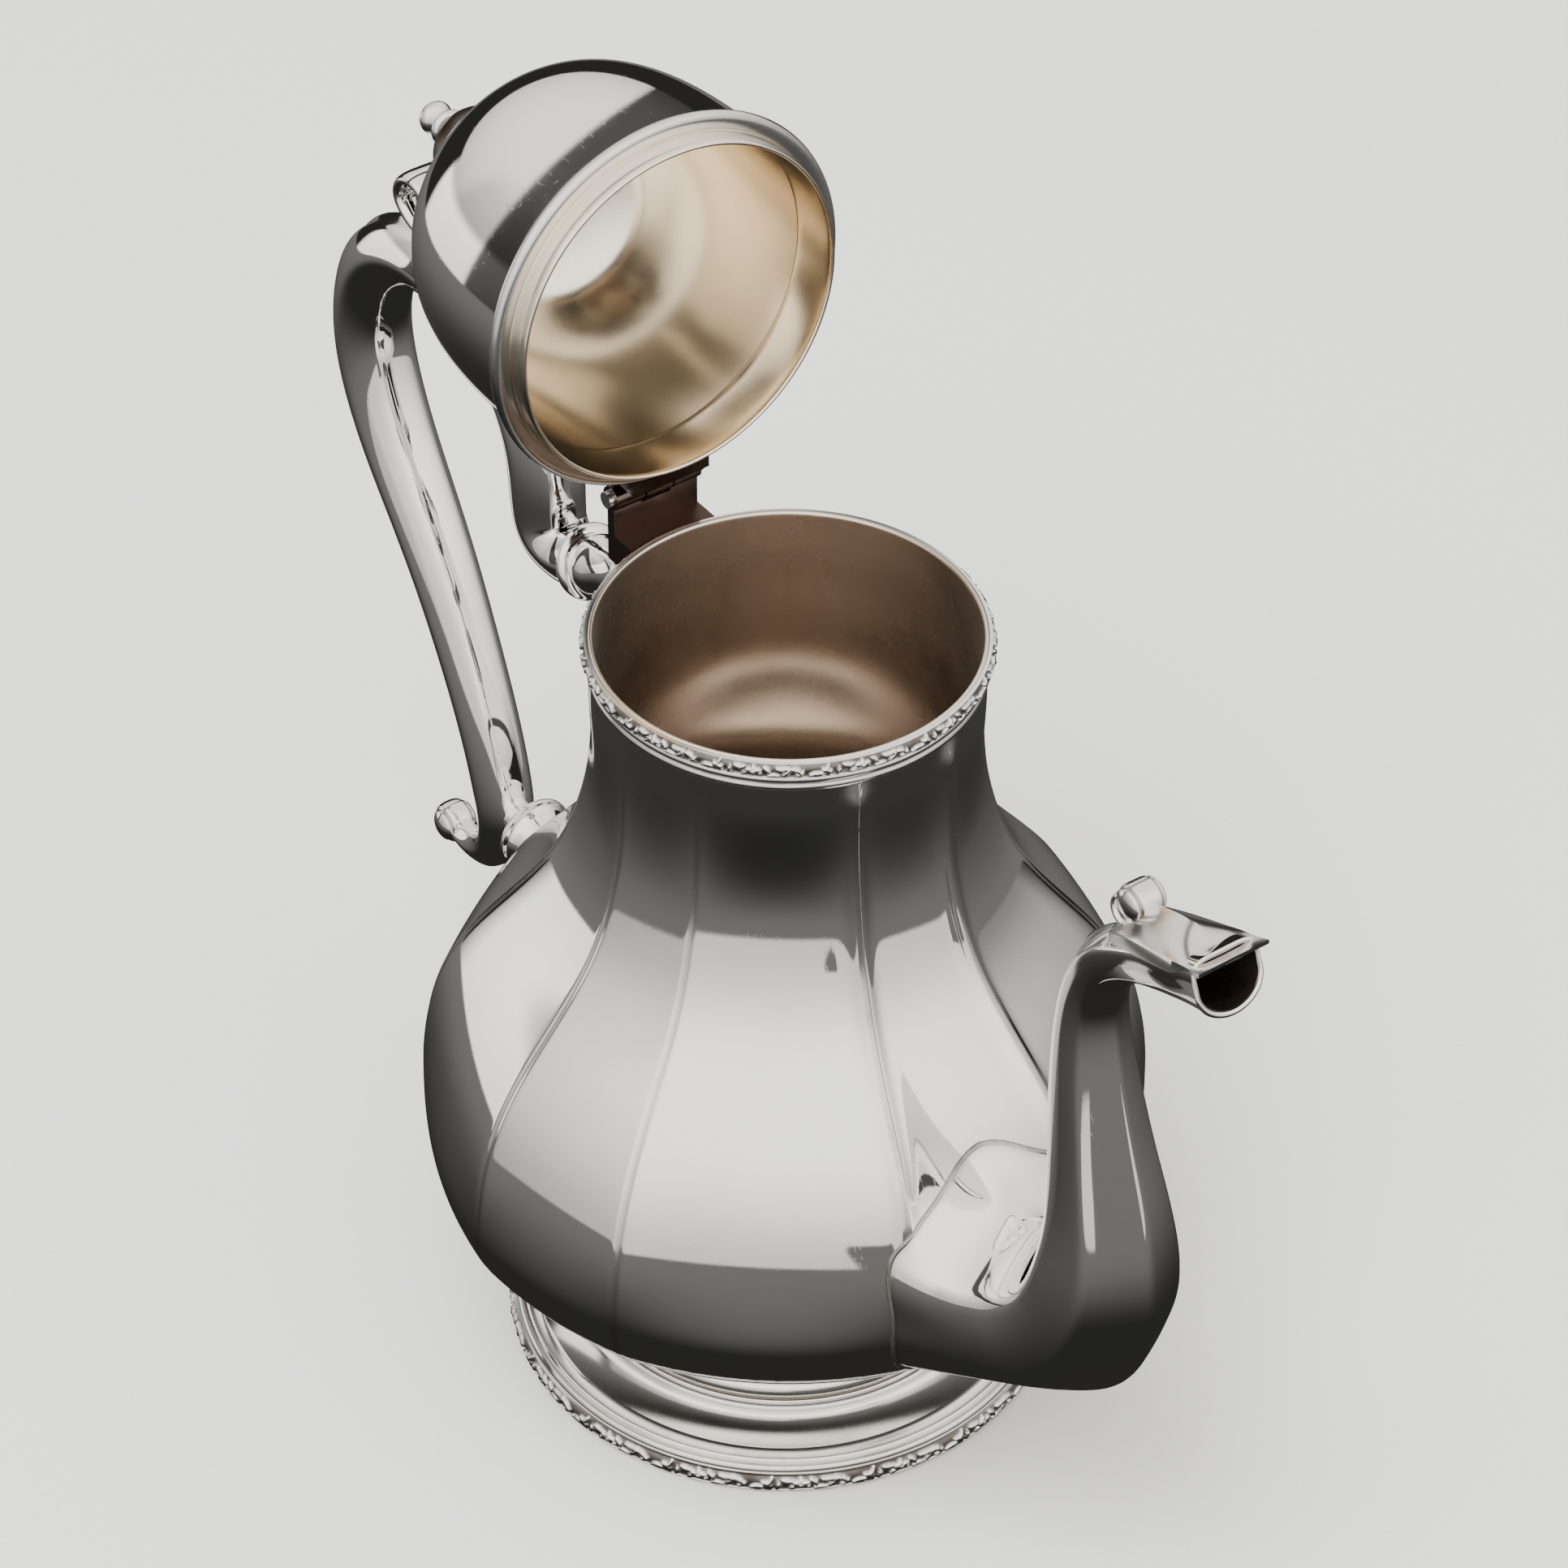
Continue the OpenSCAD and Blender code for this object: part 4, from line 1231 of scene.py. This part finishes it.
    def lower_mount(self) -> None:
        """Flared cone with a thin disc edge, from the arm's lower end to the body."""
        angle = around(84)
        line = smooth_through([[0, -96.4, 3.6], [1, -94.5, 4.2], [2, -92.2, 5.4], [3, -90.6, 7.6],
                               [4, -90.0, 8.3], [5, -89.2, 8.2], [6, -88.2, 6.9], [7, -84.5, 5.9],
                               [8, -80.5, 6.2], [9, -76.5, 7.6]], np.linspace(0, 9, 90))
        x, r = line[:, :1], line[:, 1:]
        points = np.stack([x + 0 * angle, r * np.sin(angle), self.lower_z - r * np.cos(angle)], -1)
        points = self.body.flared(points, math.pi - angle, 10.0, self.lower_z, 14)
        self.mounted(points, "handle_lower_socket", ("lower_socket", "lower_ferrule"), slice(40, 52))


@dataclass
class Hinge(Part):
    """Three-knuckle hinge; the CAD knuckles, pin and plate keep their shape."""

    def build(self) -> None:
        """Dresses the knuckles in near-black silver, a painted shadow for the hinge where it lies in shade,
        and the pin in chased silver.
        """
        redress(self.wardrobe.hinge_shadow, "hinge_bracket", "lid_leaf")
        redress(self.wardrobe.chased, "hinge_pin")


@dataclass
class Lid(Part):
    """Domed lid with a moulded lip, a gilt bezel and a button finial, drawn closed and swung."""

    mouth_z: float = 173.0
    dome_r: float = 35.2
    dome_h: float = 52.6
    squareness: float = 3.15
    lip_r: float = 38.0
    bezel_r: float = 34.4
    bezel_depth: float = 4.0
    hinge_x: float = 43.9
    hinge_up: float = 7.5
    open_by: float = 91.4
    dome_from: float = 4.2

    def swung(self, points: Array) -> Array:
        """Turns points about the hinge axis from closed to the rest pose.

        Args:
            points: a grid of points of the closed lid.

        Returns:
            The grid in the rest pose.
        """
        a = math.radians(self.open_by)
        pivot = np.array([-self.hinge_x, 0, self.mouth_z + self.hinge_up])
        turn = np.array([[math.cos(a), 0, -math.sin(a)], [0, 1, 0], [math.sin(a), 0, math.cos(a)]])
        return (points - pivot) @ turn.T + pivot

    def turned(self, name: str, outline: Array, dirt: Array, finish: bpy.types.Material, node: str,
               slot: Slot, lining: Union[Array, float] = 0.0, columns: int = 240) -> None:
        """Spins an outline and swings it open.

        Args:
            name: piece name.
            outline: rows of [radius, height above the mouth].
            dirt: tarnish of each row.
            finish: its material.
            node: the CAD node it stands for.
            slot: its slot in the record.
            lining: 1 for the rows of an inner wall.
            columns: steps round the circle.
        """
        points = self.swung(spun(outline + [0.0, self.mouth_z], columns))
        skin = Skin(points, True, dirt[:, None], lining)
        place(skin.piece(name), finish, (node,), slot, Rider.LID)

    def dome_line(self, inset: float, steps: int) -> Array:
        """Outline of the dome: |r/R|^n + |h/H|^n = 1, sampled by direction.

        Args:
            inset: how far inside the outer skin.
            steps: points from the rim to the top.

        Returns:
            Rows of [radius, height above the mouth].
        """
        a, n = np.linspace(0, math.pi / 2, steps), self.squareness
        wide, tall = self.dome_r - inset, self.dome_h - self.dome_from - inset
        size = ((np.cos(a) / wide) ** n + (np.sin(a) / tall) ** n) ** (-1 / n)
        return np.stack([size * np.cos(a), self.dome_from + size * np.sin(a)], -1)

    def build(self) -> None:
        """Makes the dome, lip, bezel, mound and knob."""
        outer, inner = self.dome_line(0, 90), self.dome_line(1.1, 60)[::-1]
        inside = np.arange(len(outer) + len(inner))[:, None] >= len(outer)
        dirt = np.concatenate([0.8 * np.exp(-(((outer[:, 1] - self.dome_from) / 0.5) ** 2)),
                               0.15 * ease((30 - inner[:, 1]) / 26)])
        self.turned("lid_dome_skin", np.vstack([outer, inner]), dirt, self.wardrobe.lid, "lid_dome",
                    Slot.BODY, inside)
        self.lip()
        self.bezel()
        self.finial()

    def lip(self) -> None:
        """Rolled lip, a stained step and a second small roll against the dome."""
        r = self.lip_r
        outline = rounded([[35.0, 0.3], [36.9, 0.25], [r - 0.25, 0.7], [r, 1.5], [r - 0.2, 2.2],
                           [r - 0.9, 2.5], [r - 1.3, 2.6], [r - 1.5, 3.2], [r - 1.9, 3.9], [r - 2.4, 4.3],
                           [35.3, 4.5], [34.6, 4.3], [34.6, 0.5]], 6, 0.45)
        step = 0.9 * np.exp(-((np.abs(outline[:, 1] - 2.9) / 0.7) ** 2)) * (outline[:, 0] > 35.2)
        self.turned("lid_rolled_lip", outline, np.maximum(step, 0.10), self.wardrobe.chased, "lid_lip",
                    Slot.ORNAMENT)

    def bezel(self) -> None:
        """Band that fits the mouth: a plain tube with rounded edges."""
        r, d = self.bezel_r, self.bezel_depth
        outline = rounded([[r - 0.6, 7.0], [r - 1.3, 6.8], [r - 1.2, 1.4], [r - 1.0, -d + 0.3],
                           [r - 0.5, -d], [r, -d + 0.3], [r + 0.05, 0.1], [r + 0.5, 0.5],
                           [r + 0.45, 4.2], [r - 0.3, 6.9]], 5, 0.4)
        dirt = 0.5 * np.exp(-(((outline[:, 1] - 0.3) / 0.5) ** 2)) * (outline[:, 0] > r - 0.3)
        self.turned("lid_bezel_band", outline, dirt, self.wardrobe.warm, "lid_bezel", Slot.INSIDE)

    def finial(self) -> None:
        """Tall dark mound, a flanged neck and a button, all turned about the lid's axis."""
        top = self.dome_h
        h = np.linspace(0, 21, 50)
        knots = [[0, 14], [2, 12.2], [5, 11.0], [9, 10.4], [13, 9.2], [16.5, 7.2], [19, 4.8], [21, 2.8]]
        rise = np.stack([smooth_through(knots, h)[:, 0], top - 0.5 + h], -1)
        rise = np.vstack([[0.0, top - 0.6], [13.0, top - 0.8], rise, [0.0, top + 20.6]])
        self.turned("finial_mound", rise, np.linspace(0.5, 0.0, len(rise)), self.wardrobe.dark,
                    "finial_base", Slot.DARK, columns=96)
        base = top + 20.4
        button = rounded([[0, 0], [2.5, 0.0], [3.5, 0.5], [3.9, 1.4], [3.5, 2.3], [2.2, 2.8],
                          [1.7, 3.5], [2.3, 4.1], [3.1, 4.7], [3.5, 5.9], [3.1, 7.1], [1.8, 8.0],
                          [0, 8.2]], 5, 0.45)
        up = button[:, 1]
        dirt = 0.7 * np.exp(-(((up - 3.4) / 0.5) ** 2)) + 0.5 * (up < 0.2)
        self.turned("finial_button", button + [0.0, base], dirt, self.wardrobe.chased, "finial_knob",
                    Slot.ORNAMENT, columns=72)
        redress(self.wardrobe.dark, "finial_stud")


# ---------------------------------------------------------------- the studio


def towards(azimuth: float, elevation: float) -> Vector:
    """Unit vector from the pot to a place given by two angles in degrees."""
    a, e = math.radians(azimuth), math.radians(elevation)
    return Vector((math.cos(a) * math.cos(e), math.sin(a) * math.cos(e), math.sin(e)))


@dataclass(frozen=True)
class Tent:
    """World light that depends on direction only.

    Brightness = table glow below the horizon, mixed to the tent's by a smooth step of z. The
    horizon stands higher in front of the spout, a dark slot parts two screens on the handle's
    side, and a dark backdrop opposite the camera ends a little above the horizon. A pair says
    where a smooth step starts and ends; a turn is in radians from the camera's azimuth.
    """

    glow: float = 0.95
    rise: float = 1.35
    rise_span: Span = (-0.35, 0.6)
    behind_loss: float = 0.7
    behind_span: Span = (-0.5, 0.4)
    side_turn: float = -1.46
    side_loss: float = 0.3
    side_span: Span = (0.80, 0.88)
    side_top: Span = (0.3, 0.6)
    left_turn: float = -math.pi / 2 - 0.6
    left_gain: float = 1.5
    left_span: Span = (0.80, 0.95)
    left_top: Span = (0.0, 0.1)
    slot_from: Span = (-0.75, -0.74)
    slot_to: Span = (-0.66, -0.63)
    slot_loss: float = 0.94
    backdrop_span: Span = (0.62, 0.68)
    backdrop_top: Span = (0.11, 0.14)
    dark: float = 0.025
    table_rise: float = 0.16
    table_span: Span = (-0.75, -0.3)
    front_turn: float = 0.50
    front_span: Span = (0.875, 0.905)
    front_lift: float = 0.16
    horizon: Span = (-0.31, -0.285)

    def level(self, x: Wire, y: Wire, z: Wire, azimuth: float) -> Wire:
        """Strength of the light.

        Args:
            x: first part of the direction it comes from.
            y: second part.
            z: third part.
            azimuth: the camera's, in radians.

        Returns:
            The strength.
        """

        def to(turn: float) -> Wire:
            """How far the direction leans to a turn: x cos + y sin."""
            return x * math.cos(azimuth + turn) + y * math.sin(azimuth + turn)

        behind = to(math.pi)
        lifted = to(self.front_turn).step(*self.front_span) * self.front_lift
        up = (z - lifted).step(*self.horizon)
        side = to(self.side_turn) * (1.0001 - z * z) ** -0.5
        screens = self.glow + z.step(*self.rise_span) * self.rise
        screens = screens - behind.step(*self.behind_span) * self.behind_loss
        screens = screens * (1 - side.step(*self.side_span) * (1 - z.step(*self.side_top)) * self.side_loss)
        left = to(self.left_turn).step(*self.left_span) * (1 - z.step(*self.left_top))
        slot = x.step(*self.slot_from) * (1 - x.step(*self.slot_to))
        screens = (screens + left * self.left_gain) * (1 - slot * self.slot_loss)
        backdrop = behind.step(*self.backdrop_span) * (1 - z.step(*self.backdrop_top))
        table = self.dark + z.step(*self.table_span) * self.table_rise
        return (screens * (1 - backdrop) + backdrop * self.dark) * up + table * (1 - up)


@dataclass
class Studio:
    """Pale floor, a light tent round the pot, one soft light and the camera.

    azimuth and elevation say where the camera stands, and distance how far from its aim, in
    millimetres; key gives the soft light's azimuth, elevation, side and distance in metres, and
    its power.
    """

    azimuth: float = -35.857
    elevation: float = 40.34
    distance: float = 968.7
    aim: tuple[float, float, float] = (-0.3, -0.5, 136.3)
    lens: float = 118.2
    roll: float = 0.46
    floor_half: float = 6.0
    key: tuple[float, float, float, float, float] = (-75, 62, 1.0, 1.6, 34.0)

    def floor(self) -> None:
        """Large pale floor that the polished metal doesn't mirror."""
        side = self.floor_half
        corners = [(-side, -side, 0), (side, -side, 0), (side, side, 0), (-side, side, 0)]
        mesh = bpy.data.meshes.new("studio_floor")
        mesh.from_pydata(corners, [], [(0, 1, 2, 3)])
        made = bpy.data.materials.new("pale_floor")
        g = Graph(made)
        shader = g.wire("ShaderNodeBsdfPrincipled", {}, {"Base Color": (0.80, 0.80, 0.79), "Roughness": 0.6})
        g.node("ShaderNodeOutputMaterial", {}, {"Surface": shader})
        mesh.materials.append(made)
        thing = linked("studio_floor", mesh)
        thing.visible_glossy = False

    def tent(self) -> None:
        """World: the tent for what the pot mirrors, and a plain pale grey for the camera."""
        world = bpy.data.worlds.new("light_tent")
        bpy.context.scene.world = world
        g = Graph(world)
        way = g.wire("ShaderNodeTexCoord", {}, {}, "Generated")
        parts = g.node("ShaderNodeSeparateXYZ", {}, {"Vector": way})
        level = Tent().level(*(Wire(g, part) for part in parts.outputs), math.radians(self.azimuth))
        glow = g.wire("ShaderNodeBackground", {}, {"Color": (1.0, 0.985, 0.96), "Strength": level})
        seen = g.wire("ShaderNodeBackground", {}, {"Color": (0.80, 0.80, 0.80), "Strength": 1.3})
        rays = g.wire("ShaderNodeLightPath", {}, {}, "Is Camera Ray")
        both = g.wire("ShaderNodeMixShader", {}, {0: rays, 1: glow, 2: seen})
        g.node("ShaderNodeOutputWorld", {}, {"Surface": both})

    def key_light(self) -> None:
        """Square soft light aimed at the pot, which the metal doesn't mirror."""
        azimuth, elevation, side, distance, power = self.key
        lamp = bpy.data.lights.new("key_light", "AREA")
        lamp.shape, lamp.size, lamp.size_y, lamp.energy = "RECTANGLE", side, side, power
        thing = linked("key_light", lamp)
        away = towards(azimuth, elevation)
        thing.location = away * distance + Vector((0, 0, 0.12))
        thing.rotation_mode = "QUATERNION"
        thing.rotation_quaternion = away.to_track_quat("Z", "Y")
        thing.visible_glossy = False

    def camera(self) -> None:
        """Camera that looks at the aim point from the given direction."""
        data = bpy.data.cameras.new("view")
        data.lens, data.sensor_width = self.lens, 36.0
        data.clip_start, data.clip_end = 0.05, 40.0
        thing = linked("view", data)
        away = towards(self.azimuth, self.elevation)
        thing.location = (Vector(self.aim) + away * self.distance) * MM
        look = away.to_track_quat("Z", "Y").to_matrix() @ Matrix.Rotation(math.radians(self.roll), 3, "Z")
        thing.rotation_euler = look.to_euler()
        bpy.context.scene.camera = thing

    def build(self) -> None:
        """Sets up everything that isn't the pot."""
        self.camera()
        self.floor()
        self.tent()
        self.key_light()
        log.info("studio ready")


def main() -> None:
    """Builds the pot piece by piece."""
    logging.basicConfig(level=logging.INFO, format="%(name)s: %(message)s")
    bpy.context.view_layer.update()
    Studio().build()
    wardrobe = Wardrobe()
    body = PanelledBody(wardrobe)
    rim = LeafBorder(wardrobe, "rim_leaves", "rim_border", body.neck_r, low=169.6, high=172.7, repeats=12,
                     crown=0.45, columns_each=100)
    rest = (Reeds(wardrobe), Foot(wardrobe), Spout(wardrobe, body), Handle(wardrobe, body),
            Hinge(wardrobe), Lid(wardrobe))
    for part in (body, rim, *rest):
        part.build()


if __name__ == "__main__":
    main()
